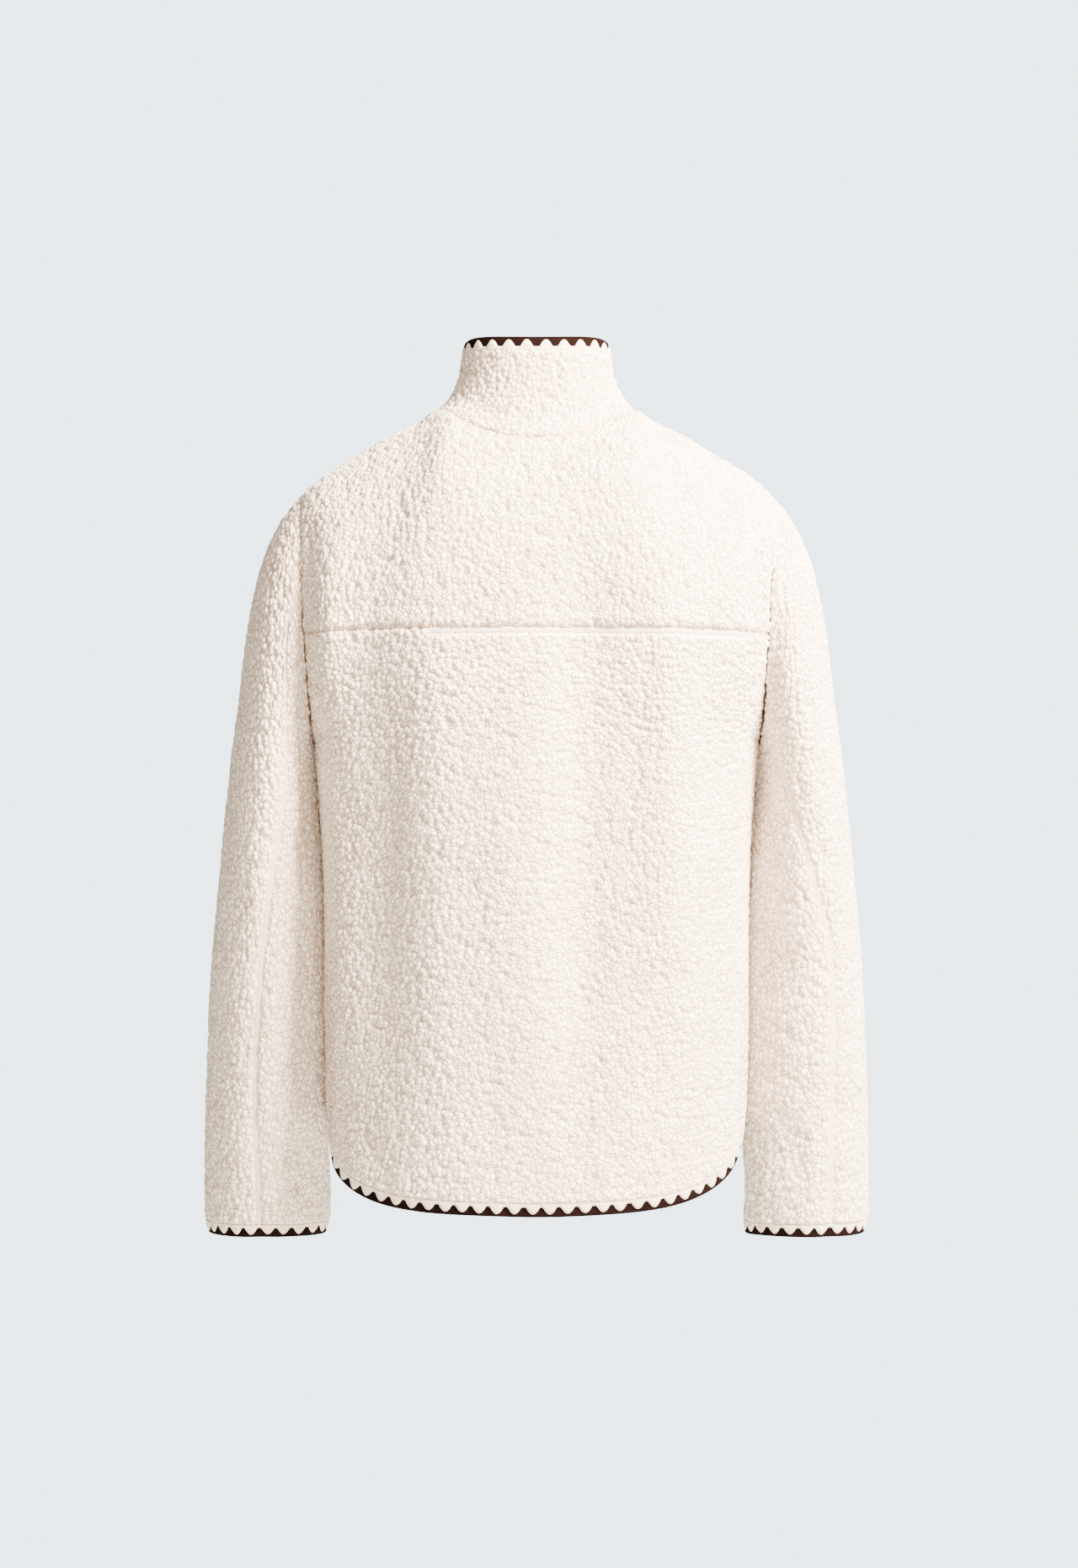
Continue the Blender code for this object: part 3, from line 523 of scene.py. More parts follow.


# %% [markdown]
# ## Creases
# Pile fabric is thick and hangs in long soft waves. The solids hold the broad form, and these folds are
# placed on it one by one, from the armholes, the seams and the elbows. Each is a trough along a short
# line, seen from behind or, for the hidden side, from the front. A negative depth makes a ridge. On the
# inner side of a sleeve, the places count from back to front.

# %% A table of creases
# Each row has the side that it is seen from, the x and z of its two ends, half its width and
# its depth, all in metres.
CREASES = (
    ("back", 0.187, -0.075, 0.182, -0.190, 0.010, 0.0035),
    ("back", 0.174, -0.090, 0.172, -0.560, 0.019, -0.0120),
    ("back", 0.128, -0.110, 0.132, -0.540, 0.017, 0.0030),
    ("back", 0.082, -0.140, 0.078, -0.580, 0.028, -0.0030),
    ("back", -0.040, -0.120, -0.042, -0.520, 0.029, 0.0125),
    ("back", -0.108, -0.100, -0.112, -0.520, 0.027, -0.0070),
    ("back", -0.168, -0.200, -0.164, -0.580, 0.014, -0.0050),
    ("back", -0.152, -0.300, -0.150, -0.560, 0.014, 0.0026),
    ("inner", -0.004, -0.200, -0.010, -0.670, 0.024, -0.0082),
    ("back", 0.150, -0.060, 0.160, -0.130, 0.014, -0.0020),
    ("back", -0.181, -0.085, -0.177, -0.180, 0.011, 0.0030),
    ("back", -0.158, -0.100, -0.150, -0.170, 0.014, -0.0020),
    ("back", -0.178, -0.190, -0.140, -0.300, 0.010, 0.0022),
    ("back", 0.176, -0.230, 0.150, -0.340, 0.011, 0.0022),
    ("back", 0.105, -0.200, 0.122, -0.420, 0.012, 0.0012),
    ("back", -0.105, -0.430, -0.090, -0.560, 0.010, 0.0014),
    ("back", 0.140, -0.560, 0.120, -0.618, 0.010, 0.0014),
    ("back", 0.030, -0.500, 0.045, -0.600, 0.012, 0.0012),
    ("back", 0.205, -0.590, 0.181, -0.632, 0.006, 0.0024),
    ("back", 0.216, -0.600, 0.192, -0.645, 0.005, 0.0018),
    ("back", 0.198, -0.330, 0.216, -0.440, 0.008, 0.0018),
    ("back", 0.258, -0.250, 0.262, -0.420, 0.010, 0.0016),
    ("back", 0.190, -0.420, 0.184, -0.520, 0.008, 0.0018),
    ("back", -0.200, -0.300, -0.196, -0.420, 0.009, 0.0020),
    ("back", -0.240, -0.180, -0.250, -0.300, 0.009, 0.0014),
    ("back", -0.262, -0.460, -0.258, -0.600, 0.009, 0.0014),
    ("back", -0.205, -0.560, -0.222, -0.625, 0.007, 0.0018),
    ("front", 0.172, -0.110, 0.140, -0.230, 0.011, 0.0026),
    ("front", -0.172, -0.120, -0.138, -0.225, 0.011, 0.0028),
    ("front", 0.120, -0.330, 0.100, -0.500, 0.012, 0.0020),
    ("front", -0.060, -0.260, -0.078, -0.420, 0.012, 0.0020),
    ("front", 0.045, -0.090, 0.070, -0.180, 0.012, 0.0014),
    ("front", -0.140, -0.480, -0.120, -0.590, 0.010, 0.0018),
    ("front", 0.205, -0.350, 0.235, -0.400, 0.009, 0.0026),
    ("front", 0.200, -0.385, 0.240, -0.430, 0.009, 0.0020),
    ("front", -0.205, -0.345, -0.238, -0.395, 0.009, 0.0026),
    ("front", -0.198, -0.385, -0.235, -0.425, 0.009, 0.0020),
    ("front", 0.225, -0.560, 0.200, -0.620, 0.008, 0.0018),
    ("front", -0.230, -0.570, -0.205, -0.630, 0.008, 0.0018),
)
print(len(CREASES), "creases")

# %% [markdown]
# ## Nudges
# Some edges lie a few millimetres away from where the solid has them: the neck seam is
# flatter, and the hem and the cuffs hang a little lower. A nudge moves everything near a
# place, and it fades out over its reach, so pieces that meet stay together.

# %% A table of nudges
# Each row has the pieces that it moves, its place, its reach and its move.
AT_NECK = ("collar", "back_yoke", "front_left", "front_right")
AT_LEFT = ("back_panel", "front_left")
AT_RIGHT = ("back_panel", "front_right")
NUDGES = (
    (AT_NECK, (0.0825, 0, 0.019), (0.022, 0.030, 0.016), (0.008, 0, -0.009)),
    (AT_NECK, (-0.0825, 0, 0.019), (0.022, 0.030, 0.016), (-0.008, 0, -0.009)),
    (AT_NECK, (0, 0.085, -0.0155), (0.050, 0.050, 0.020), (0, 0, 0.004)),
    (AT_LEFT, (0.130, 0, -0.640), (0.060, 0.200, 0.040), (0, 0, -0.0055)),
    (AT_LEFT, (0.162, 0, -0.615), (0.035, 0.200, 0.036), (0.0075, 0, -0.0015)),
    (AT_RIGHT, (-0.165, 0, -0.605), (0.035, 0.200, 0.035), (-0.0035, 0, 0)),
    (AT_RIGHT, (-0.120, 0, -0.640), (0.050, 0.200, 0.040), (0, 0, -0.0020)),
    (("back_panel", "front_left", "front_right"), (0, 0, -0.640), (0.6, 0.6, 0.030), (0, 0, -0.0022)),
    (("sleeve_left", "sleeve_right"), (0, 0, -0.660), (0.9, 0.9, 0.025), (0, 0, -0.0024)),
)
print(len(NUDGES), "nudges")


def nudged(piece, grid):
    """The grid with the nudges of the table."""
    result = grid.copy()
    for pieces, place, reach, move in NUDGES:
        if piece in pieces:
            share = np.exp(-(((grid - place) / reach) ** 2).sum(axis=-1, keepdims=True))
            result += share * move
    return result


# %% Press the creases in
GUARD = 0.010  # creases fade out this near to a hidden seam, so that it stays closed
FACES = (0.05, 0.5)  # how much a surface has to face a crease's side to take it


def creased(piece, grid, normals):
    """The grid with the creases of the table pressed into it."""
    closed = piece in SLEEVE_SEAM
    side = np.sign(grid[..., :1])
    ways = {
        "back": (np.array([0, 1, 0]), eased(normals[..., 1], *FACES)),
        "front": (np.array([0, -1, 0]), eased(-normals[..., 1], *FACES)),
    }
    if closed:
        ways["inner"] = (-side * [1, 0, 0], eased(-side[..., 0] * normals[..., 0], *FACES))
    guard = np.ones(grid.shape[:2])
    for kind, distance in zip(EDGES[piece], edge_distances(grid, closed)):
        if kind == "hidden":
            guard *= eased(distance, 0, GUARD)
    push = np.zeros_like(grid)
    for face, x1, z1, x2, z2, half_width, depth in CREASES:
        if face not in ways:
            continue
        direction, facing = ways[face]
        place, up = grid[..., 1 if face == "inner" else 0], grid[..., 2]
        length = math.hypot(x2 - x1, z2 - z1)
        along = ((place - x1) * (x2 - x1) + (up - z1) * (z2 - z1)) / length**2
        beside = ((place - x1) * (z2 - z1) - (up - z1) * (x2 - x1)) / length
        profile = np.exp(-((2 * along - 1) ** 4)) * np.exp(-((beside / half_width) ** 2))
        push -= (depth * facing * guard * profile)[..., None] * direction
    return grid + push


# %% [markdown]
# ## A shell with a thickness
# The outside is fine, because the pile is on it. The inside is the knitted ground of the
# same fabric, and a point every seven millimetres is enough there. Between the two runs a
# rim, whose triangles spread from each inner point to the fine outer ones.

# %% Build one closed shell
WALL = 0.006
COARSER = 4  # fine steps for each step of the inside


def stitched_rim(fine, coarse):
    """Triangles between a line of fine points and the coarse line behind it."""
    faces = []
    half = COARSER // 2
    for j in range(len(coarse) - 1):
        near = fine[j * COARSER : (j + 1) * COARSER + 1]
        for k in range(COARSER):
            faces.append((near[k + 1], near[k], coarse[j if k < half else j + 1]))
        faces.append((coarse[j + 1], near[half], coarse[j]))
    return faces


def shell_mesh(name, outer, inner, closed):
    """A closed mesh: a fine outside, a coarse inside and the rims between."""
    fine = numbers(*outer.shape[:2])
    coarse = numbers(*inner.shape[:2], fine.size)
    if closed:
        fine, coarse = np.hstack([fine, fine[:, :1]]), np.hstack([coarse, coarse[:, :1]])
    outside = quads(fine).tolist()
    faces = outside + quads(coarse[:, ::-1]).tolist()
    faces += stitched_rim(fine[0], coarse[0])
    faces += stitched_rim(fine[-1, ::-1], coarse[-1, ::-1])
    if not closed:
        faces += stitched_rim(fine[::-1, 0], coarse[::-1, 0])
        faces += stitched_rim(fine[:, -1], coarse[:, -1])
    mesh = bpy.data.meshes.new(name)
    points = np.concatenate([outer.reshape(-1, 3), inner.reshape(-1, 3)])
    mesh.from_pydata(points.tolist(), [], faces)
    mesh.shade_smooth()
    shown = mesh.attributes.new("outside", "BOOLEAN", "FACE")
    shown.data.foreach_set("value", np.arange(len(faces)) < len(outside))
    return mesh


# %% Keep values at the points of a mesh
def store(mesh, name, values):
    """Keeps a number or a vector at each point of a mesh, for the node trees to read."""
    kind = "FLOAT" if np.ndim(values) == 1 else "FLOAT_VECTOR"
    attribute = mesh.attributes.new(name, kind, "POINT")
    attribute.data.foreach_set("value" if kind == "FLOAT" else "vector", np.ravel(values))


# %% The fine grid of a piece
# Parts are the fine steps in each cell of the solid, down and across.
PARTS = {"collar": (12, 12), "sleeve_left": (16, 10), "sleeve_right": (16, 10)}
USUAL_PARTS = (16, 12)
SHARP_CELLS = 1.5  # how many cells down from its corner an edge's sharp turn is lost
SEAM_OVERLAP = 0.0002  # seams close over the gap between the solids
OVERHANG = 0.0012  # how far the yoke's pile hangs over the band below it


def opened(grid, kinds):
    """The grid with its sewn edges moved out by a little, within the surface."""
    result = grid.copy()
    for kind, edge, inner in zip(kinds, (0, -1), (1, -2)):
        if kind in ("free", "zip", None):
            continue
        amount = OVERHANG if kind == "overhang" else SEAM_OVERLAP
        result[edge] += amount * unit(grid[edge] - grid[inner])
    return result


def smooth_both_ways(piece, down, across):
    """The fine grid of a piece. Its curve turns sharply at the corners beside the neck."""
    columns = smooth(cages[piece], down).swapaxes(0, 1)
    grid = smooth(columns, across, piece in SLEEVE_SEAM)
    if piece in CORNERS:
        ends = (0, *CORNERS[piece], len(columns) - 1)
        parts = [smooth(columns[a : b + 1], across) for a, b in zip(ends, ends[1:])]
        sharp = np.concatenate([part[:-1] for part in parts[:-1]] + parts[-1:])
        share = 1 - eased(from_top(piece, columns.shape[1]) / down, 0, SHARP_CELLS)
        grid = grid + share[None, :, None] * (sharp - grid)
    return grid.swapaxes(0, 1)


# %% Make the seven shells
SLEEVE_STRETCH = 0.8  # curls on a sleeve are a little longer up and down
cloth, bases = {}, {}


def make_shell(piece):
    """The smooth shell of one piece, with what the curls need to know kept at its points."""
    closed = piece in SLEEVE_SEAM
    down, across = PARTS.get(piece, USUAL_PARTS)
    grid = smooth_both_ways(piece, down, across)
    normals = facing_of(grid, closed)
    grid = nudged(piece, creased(piece, grid, normals))
    normals = facing_of(grid, closed)
    cloth[piece] = {"grid": grid, "normals": normals}
    drop, left, seam = effects(piece, grid)
    wide = opened(grid, EDGES[piece][:2])
    if not closed:
        wide = opened(wide.swapaxes(0, 1), EDGES[piece][2:]).swapaxes(0, 1)
    inner = (wide - WALL * normals)[::COARSER, ::COARSER]
    outer = wide - drop[..., None] * normals
    mesh = shell_mesh(piece + "_pile", outer, inner, closed)
    bare = np.zeros(inner.shape[0] * inner.shape[1])
    store(mesh, "curls", np.concatenate([left.ravel(), bare]))
    # the painted brown shade of seams, band cracks and sides that face a sleeve
    store(mesh, "seam", np.concatenate([seam.ravel(), bare]))
    rest = np.concatenate([wide.reshape(-1, 3), inner.reshape(-1, 3)])
    store(mesh, "rest", rest * [1, 1, SLEEVE_STRETCH if closed else 1])
    obj = bpy.data.objects.new(piece + "_pile", mesh)
    scene.collection.objects.link(obj)
    return obj


for piece in cages:
    bases[piece] = make_shell(piece)
    print(piece, "points", len(bases[piece].data.vertices))

# %% [markdown]
# ## Building node trees in code
# Every node tree below is made with the same few helpers. One adds a node and fills its
# sockets, either with a value or with a link from another node. Two more add a single step
# of arithmetic and give back its result, so that a formula can be written in one line. The
# rest are steps that come back often: a mask, a mix of two colours, a noise and a bump.

# %% Helpers for node trees
def add_node(tree, kind, settings=None, inputs=None):
    """A node with its settings and its inputs, where an input is a value or an output socket."""
    node = tree.nodes.new(kind)
    for name, value in (settings or {}).items():
        setattr(node, name, value)
    for name, value in (inputs or {}).items():
        if isinstance(value, bpy.types.NodeSocket):
            tree.links.new(value, node.inputs[name])
        else:
            node.inputs[name].default_value = value
    return node


def maths(tree, operation, *values):
    """The result of one arithmetic step on numbers."""
    values = dict(enumerate(values))
    return add_node(tree, "ShaderNodeMath", {"operation": operation}, values).outputs[0]


def vector_maths(tree, operation, first, second):
    """The result of one arithmetic step on vectors. SCALE takes a number as its second value."""
    inputs = {0: first, "Scale" if operation == "SCALE" else 1: second}
    return add_node(tree, "ShaderNodeVectorMath", {"operation": operation}, inputs).outputs[0]


# %% Helpers for masks, mixes and patterns
def between(tree, value, low, high):
    """0 at low and 1 at high, soft at both ends, as a mask."""
    inputs = {"Value": value, "From Min": low, "From Max": high}
    settings = {"interpolation_type": "SMOOTHSTEP"}
    return add_node(tree, "ShaderNodeMapRange", settings, inputs).outputs["Result"]


def mixed(tree, share, first, second):
    """One colour turned into another by a share."""
    inputs = {0: share, 6: first, 7: second}
    return add_node(tree, "ShaderNodeMix", {"data_type": "RGBA"}, inputs).outputs[2]


def noise(tree, place, scale, detail=2.0):
    """The outputs of a noise texture, of which the first is a number."""
    inputs = {"Vector": place, "Scale": scale, "Detail": detail}
    return add_node(tree, "ShaderNodeTexNoise", None, inputs).outputs


def coordinates(tree, kind):
    """Where a place is: Object in metres on the object, UV in metres along a strip."""
    return add_node(tree, "ShaderNodeTexCoord").outputs[kind]


# %% Helpers for node groups and materials
def new_tree(name, kind, inputs, output, output_kind):
    """An empty node group with named sockets, its input node and its output node."""
    tree = bpy.data.node_groups.new(name, kind)
    for socket, socket_kind, value in inputs:
        made = tree.interface.new_socket(socket, in_out="INPUT", socket_type=socket_kind)
        if value is not None:
            made.default_value = value
    tree.interface.new_socket(output, in_out="OUTPUT", socket_type=output_kind)
    return tree, tree.nodes.new("NodeGroupInput").outputs, tree.nodes.new("NodeGroupOutput").inputs


def new_material(name, **sockets):
    """A material with its Principled shader. Plain numbers go straight on the shader."""
    material = bpy.data.materials.new(name)
    material.use_nodes = True
    shader = material.node_tree.nodes["Principled BSDF"]
    for socket, value in sockets.items():
        shader.inputs[socket.replace("_", " ")].default_value = value
    return material, material.node_tree, shader


def bumped(tree, shader, height, strength, distance):
    """Lets a height shape the light on a surface."""
    inputs = {"Strength": strength, "Distance": distance, "Height": height}
    bump = add_node(tree, "ShaderNodeBump", None, inputs)
    tree.links.new(bump.outputs[0], shader.inputs["Normal"])


# %% [markdown]
# ## Shared effects
# Two effects return in most of the fabrics, so each is a node group. `uneven tone` makes a
# colour drift a little from place to place, as dyed yarn does. `fine knit` gives the height
# of rows of small V stitches, from a pattern place in metres.

# %% Node group: uneven tone
FLOAT, VECTOR, COLOUR = "NodeSocketFloat", "NodeSocketVector", "NodeSocketColor"
tone_inputs = (
    ("Color", COLOUR, (0.8, 0.8, 0.8, 1)),
    ("Darker", COLOUR, (0.5, 0.5, 0.5, 1)),
    ("Amount", FLOAT, 0.3),
    ("Patch Size", FLOAT, 0.05),
)
uneven_tone, given, result = new_tree("uneven tone", "ShaderNodeTree", tone_inputs, "Color", COLOUR)
scale = maths(uneven_tone, "DIVIDE", 1.0, given["Patch Size"])
patches = noise(uneven_tone, coordinates(uneven_tone, "Object"), scale, 3.0)[0]
share = maths(uneven_tone, "MULTIPLY", between(uneven_tone, patches, 0.35, 0.7), given["Amount"])
uneven_tone.links.new(mixed(uneven_tone, share, given["Color"], given["Darker"]), result["Color"])
print(uneven_tone.name, len(uneven_tone.nodes), "nodes")


def toned(tree, *values):
    """A colour that drifts, from its own value, a darker one, an amount and a patch size."""
    inputs = dict(zip(("Color", "Darker", "Amount", "Patch Size"), values))
    return add_node(tree, "ShaderNodeGroup", {"node_tree": uneven_tone}, inputs).outputs[0]


# %% Node group: fine knit
knit_inputs = (
    ("Vector", VECTOR, None),
    ("Rib Width", FLOAT, 0.0014),
    ("Row Height", FLOAT, 0.0011),
)
fine_knit, given, result = new_tree("fine knit", "ShaderNodeTree", knit_inputs, "Height", FLOAT)
parts = add_node(fine_knit, "ShaderNodeSeparateXYZ", None, {0: given["Vector"]}).outputs
rib = maths(fine_knit, "PINGPONG", maths(fine_knit, "DIVIDE", parts[0], given["Rib Width"]), 0.5)
row = maths(fine_knit, "ADD", maths(fine_knit, "DIVIDE", parts[1], given["Row Height"]), rib)
loop = maths(fine_knit, "SINE", maths(fine_knit, "MULTIPLY", row, math.tau))
bulge = maths(fine_knit, "SINE", maths(fine_knit, "MULTIPLY", rib, math.tau))
height = maths(fine_knit, "ADD", bulge, maths(fine_knit, "MULTIPLY", loop, 0.45))
fine_knit.links.new(height, result["Height"])
print(fine_knit.name, len(fine_knit.nodes), "nodes")

# %% [markdown]
# ## The curls
# Sherpa pile is knitted fleece whose fibres have been tumbled into small curls. From near by it is a field
# of soft knobs, four or five millimetres wide, that keep together in clumps with thin cracks between them.
# Voronoi cells are shaped like that. The same cells are used twice: a Geometry Nodes tree raises them from
# the shell, so that they show in the outline, and the material below draws the finer curls and paints
# brown shade into the cracks with them.

# %% Sizes of the curls
CURL_SIZE = 0.0042
CURL_HEIGHT = 0.0017
CLUMP_SIZE = 0.0120
CLUMP_DEPTH = 0.0005
WANDER = 0.0030  # how far the cells are pulled out of shape
WANDER_SIZE = 0.0050
TO_EDGE = "DISTANCE_TO_EDGE"


def out_of_shape(tree, place, wander):
    """Each place moved a little, so that no cell drawn there has straight sides."""
    colour = noise(tree, place, 1 / WANDER_SIZE)["Color"]
    pull = vector_maths(tree, "SUBTRACT", colour, (0.5, 0.5, 0.5))
    return vector_maths(tree, "ADD", place, vector_maths(tree, "SCALE", pull, wander))


def cells(tree, place, size, feature="F1"):
    """How far each place is from the middle, or from the edge, of its Voronoi cell."""
    scale = 1 / size if isinstance(size, float) else maths(tree, "DIVIDE", 1.0, size)
    inputs = {"Vector": place, "Scale": scale}
    return add_node(tree, "ShaderNodeTexVoronoi", {"feature": feature}, inputs).outputs["Distance"]


def squared(tree, value, factor):
    """The square of a value, times a factor."""
    return maths(tree, "MULTIPLY", maths(tree, "POWER", value, 2.0), factor)


# %% Geometry Nodes tree: sherpa pile
KNOB_TOP = 0.40  # how far the middle of a knob stands out, as a share of the curls' height
KNOB_FALL = 1.6
CLUMP_EDGE = 0.16  # how wide the cracks between clumps are, in cells
GEOMETRY = "NodeSocketGeometry"
pile_inputs = (
    ("Geometry", GEOMETRY, None),
    ("Curl Size", FLOAT, CURL_SIZE),
    ("Curl Height", FLOAT, CURL_HEIGHT),
    ("Clump Size", FLOAT, CLUMP_SIZE),
    ("Clump Depth", FLOAT, CLUMP_DEPTH),
    ("Wander", FLOAT, WANDER),
    ("Pile", "NodeSocketMaterial", None),
    ("Ground", "NodeSocketMaterial", None),
)


def named(tree, name, kind="FLOAT"):
    """A number or a vector that a mesh keeps at its points."""
    settings = {"data_type": kind}
    return add_node(tree, "GeometryNodeInputNamedAttribute", settings, {"Name": name}).outputs[0]


sherpa, given, result = new_tree("sherpa pile", "GeometryNodeTree", pile_inputs, "Geometry", GEOMETRY)
place = out_of_shape(sherpa, named(sherpa, "rest", "FLOAT_VECTOR"), given["Wander"])
curl = cells(sherpa, place, given["Curl Size"])
clump = cells(sherpa, place, given["Clump Size"], TO_EDGE)
knob = maths(sherpa, "SUBTRACT", KNOB_TOP, squared(sherpa, curl, KNOB_FALL))
crack = maths(sherpa, "SUBTRACT", between(sherpa, clump, 0.0, CLUMP_EDGE), 1.0)
raised = maths(sherpa, "MULTIPLY", knob, given["Curl Height"])
pressed = maths(sherpa, "MULTIPLY", crack, given["Clump Depth"])
total = maths(sherpa, "MULTIPLY", maths(sherpa, "ADD", raised, pressed), named(sherpa, "curls"))
offset = vector_maths(sherpa, "SCALE", add_node(sherpa, "GeometryNodeInputNormal").outputs[0], total)
moved = {"Geometry": given["Geometry"], "Offset": offset}
shape = add_node(sherpa, "GeometryNodeSetPosition", None, moved).outputs[0]
whole = add_node(sherpa, "GeometryNodeRealizeInstances", None, {"Geometry": shape}).outputs[0]
ground = {"Geometry": whole, "Material": given["Ground"]}
inside = add_node(sherpa, "GeometryNodeSetMaterial", None, ground).outputs[0]
shown = named(sherpa, "outside", "BOOLEAN")
pile = {"Geometry": inside, "Selection": shown, "Material": given["Pile"]}
finished = add_node(sherpa, "GeometryNodeSetMaterial", None, pile)
sherpa.links.new(finished.outputs[0], result["Geometry"])
print(sherpa.name, len(sherpa.nodes), "nodes")

# %% [markdown]
# ## The pile's material
# The colour is a warm cream. In the cracks between curls and clumps, where the ground shows, it turns
# brown: that brown is painted shade, standing for the shadow in the cracks. Painted brown shade also
# darkens the seams and the sides of the body that face a sleeve. The cream drifts a little over a few
# centimetres, as real pile does where it was brushed. The bump holds what is too fine for the mesh:
# smaller curls inside each knob and single fibres.

# %% The pile's patterns
CREAM = (0.885, 0.800, 0.700, 1)
CREAM_DEEP = (0.80, 0.690, 0.570, 1)
FINE_CURL = 0.0019
CRACK_WIDTH = 0.17  # of the cracks between curls, in cells
CLUMP_WIDTH = 0.075  # and of those between clumps
FIBRES = 1800.0  # in a metre

pile_material, tree, shader = new_material(
    "cream pile", Roughness=0.92, Sheen_Weight=0.25, Sheen_Roughness=0.5
)


def kept(tree, name, output):
    """What a mesh keeps at its points, as Vector or as the number Fac."""
    return add_node(tree, "ShaderNodeAttribute", {"attribute_name": name}).outputs[output]


place = kept(tree, "rest", "Vector")
warped = out_of_shape(tree, place, WANDER)
curl = cells(tree, warped, CURL_SIZE)
edge = cells(tree, warped, CURL_SIZE, TO_EDGE)
clump = cells(tree, warped, CLUMP_SIZE, TO_EDGE)
fine = cells(tree, warped, FINE_CURL)
near_edge = maths(tree, "SUBTRACT", 1.0, between(tree, edge, 0.0, CRACK_WIDTH))
near_clump = maths(tree, "SUBTRACT", 1.0, between(tree, clump, 0.0, CLUMP_WIDTH))
fibres = noise(tree, place, FIBRES, 3.0)[0]

# %% The pile's colour
# Painted shade: the brown that stands in for the shadow in the cracks between curls and clumps.
PAINTED_CRACK_SHADE = (0.30, 0.225, 0.165, 1)
CRACK_SHARES = (0.70, 0.84)  # of that tone between curls, which drifts from place to place
CLUMP_SHARE = 0.45  # and between clumps
PATCHES = 60.0  # in a metre
# Painted shade in spots at the seams, beside the sleeves' bands and on the sides that face a sleeve.
PAINTED_SHADE_TONE = (0.36, 0.22, 0.14, 1)
PAINTED_SHADE_SHARE = 0.75
SPOTS = 330.0

patchy = between(tree, noise(tree, place, PATCHES)[0], 0.4, 0.65)
drift = maths(tree, "MULTIPLY", patchy, CRACK_SHARES[1] - CRACK_SHARES[0])
small = maths(tree, "MULTIPLY", near_edge, maths(tree, "ADD", drift, CRACK_SHARES[0]))
large = maths(tree, "MULTIPLY", near_clump, CLUMP_SHARE)
# how much painted crack shade each place gets, none where the curls fade at an edge
depth = maths(tree, "MULTIPLY", maths(tree, "MAXIMUM", small, large), kept(tree, "curls", "Fac"))
cream = mixed(tree, depth, toned(tree, CREAM, CREAM_DEEP, 0.45, 0.035), PAINTED_CRACK_SHADE)
# the painted seam shade, broken into spots
spots = between(tree, noise(tree, place, SPOTS)[0], 0.38, 0.62)
painted_seam_shade = maths(tree, "MULTIPLY", kept(tree, "seam", "Fac"), spots)
cream = mixed(tree, maths(tree, "MULTIPLY", painted_seam_shade, PAINTED_SHADE_SHARE), cream, PAINTED_SHADE_TONE)
tree.links.new(cream, shader.inputs["Base Color"])

# %% The pile's bump, in metres
KNOB_BUMP = 0.0014
FINE_BUMP = 0.0006
CRACK_BUMP = 0.0006
CLUMP_BUMP = 0.4  # as a share of that of the cracks between curls
FIBRE_BUMP = 0.00025

cracks = maths(tree, "ADD", near_edge, maths(tree, "MULTIPLY", near_clump, CLUMP_BUMP))
height = maths(tree, "ADD", squared(tree, curl, -KNOB_BUMP), squared(tree, fine, -FINE_BUMP))
fuzz = maths(tree, "MULTIPLY", fibres, FIBRE_BUMP)
creases = maths(tree, "ADD", maths(tree, "MULTIPLY", cracks, -CRACK_BUMP), fuzz)
bumped(tree, shader, maths(tree, "ADD", height, creases), 0.6, 1.0)
print(pile_material.name, len(tree.nodes), "nodes")

# %% [markdown]
# ## Knitted fabrics
# The back of the pile is a plain knitted ground. It shows inside the neck, the hem and the cuffs. The seam
# bands, the binding, the braid and the zip tape are knitted or woven too, only finer, so one function
# makes all their materials from the size of a stitch, the tones and a painted shade in the dips between
# stitches, which on the binding is a painted highlight on the ribs instead.

# %% Materials of small stitches
def flat_place(tree):
    """Object coordinates with X and Z as the pattern's two directions."""
    x, y, z = add_node(tree, "ShaderNodeSeparateXYZ", None, {0: coordinates(tree, "Object")}).outputs
    return add_node(tree, "ShaderNodeCombineXYZ", None, {0: maths(tree, "ADD", x, y), 1: z}).outputs[0]


def strip_place(tree):
    """Metres along a strip and round its section."""
    return coordinates(tree, "UV")


def knitted(name, place, stitch, tones, gaps, **sockets):
    """A material of small stitches.

    stitch is its width, its height and its depth in metres, and tones is what toned takes.
    gaps is a second tone of painted light, set by the stitches' height: painted shade in the dips, and on
    the binding a painted highlight on the ribs. It holds its heights from none to full, its share and its
    colour.
    """
    material, tree, shader = new_material(name, **sockets)
    width, row, depth = stitch
    inputs = {"Vector": place(tree), "Rib Width": width, "Row Height": row}
    height = add_node(tree, "ShaderNodeGroup", {"node_tree": fine_knit}, inputs).outputs["Height"]
    # painted light by the stitches' height: shade in the dips, a highlight on the binding's ribs
    none, full, share, colour = gaps
    mix = maths(tree, "MULTIPLY", between(tree, height, none, full), share)
    tree.links.new(mixed(tree, mix, toned(tree, *tones), colour), shader.inputs["Base Color"])
    bumped(tree, shader, height, 1.0, depth)
    print(name, len(tree.nodes), "nodes")
    return material


GROUND = (0.80, 0.69, 0.575, 1)
GROUND_DARK = (0.66, 0.54, 0.42, 1)
ground_material = knitted(
    "knitted ground",
    flat_place,
    stitch=(0.0016, 0.0013, 0.0002),
    tones=(GROUND, GROUND_DARK, 0.5, 0.04),
    # painted shade in the dips between stitches
    gaps=(0.6, -0.6, 0.5, GROUND_DARK),
    Roughness=0.9,
    Sheen_Weight=0.15,
)

# %% [markdown]
# ## Growing the pile
# A modifier runs the node tree on each shell. Its result is kept as a plain mesh, so every curl is real
# geometry from there on. Each shell then says which body it moves with and which solid it takes the place
# of.

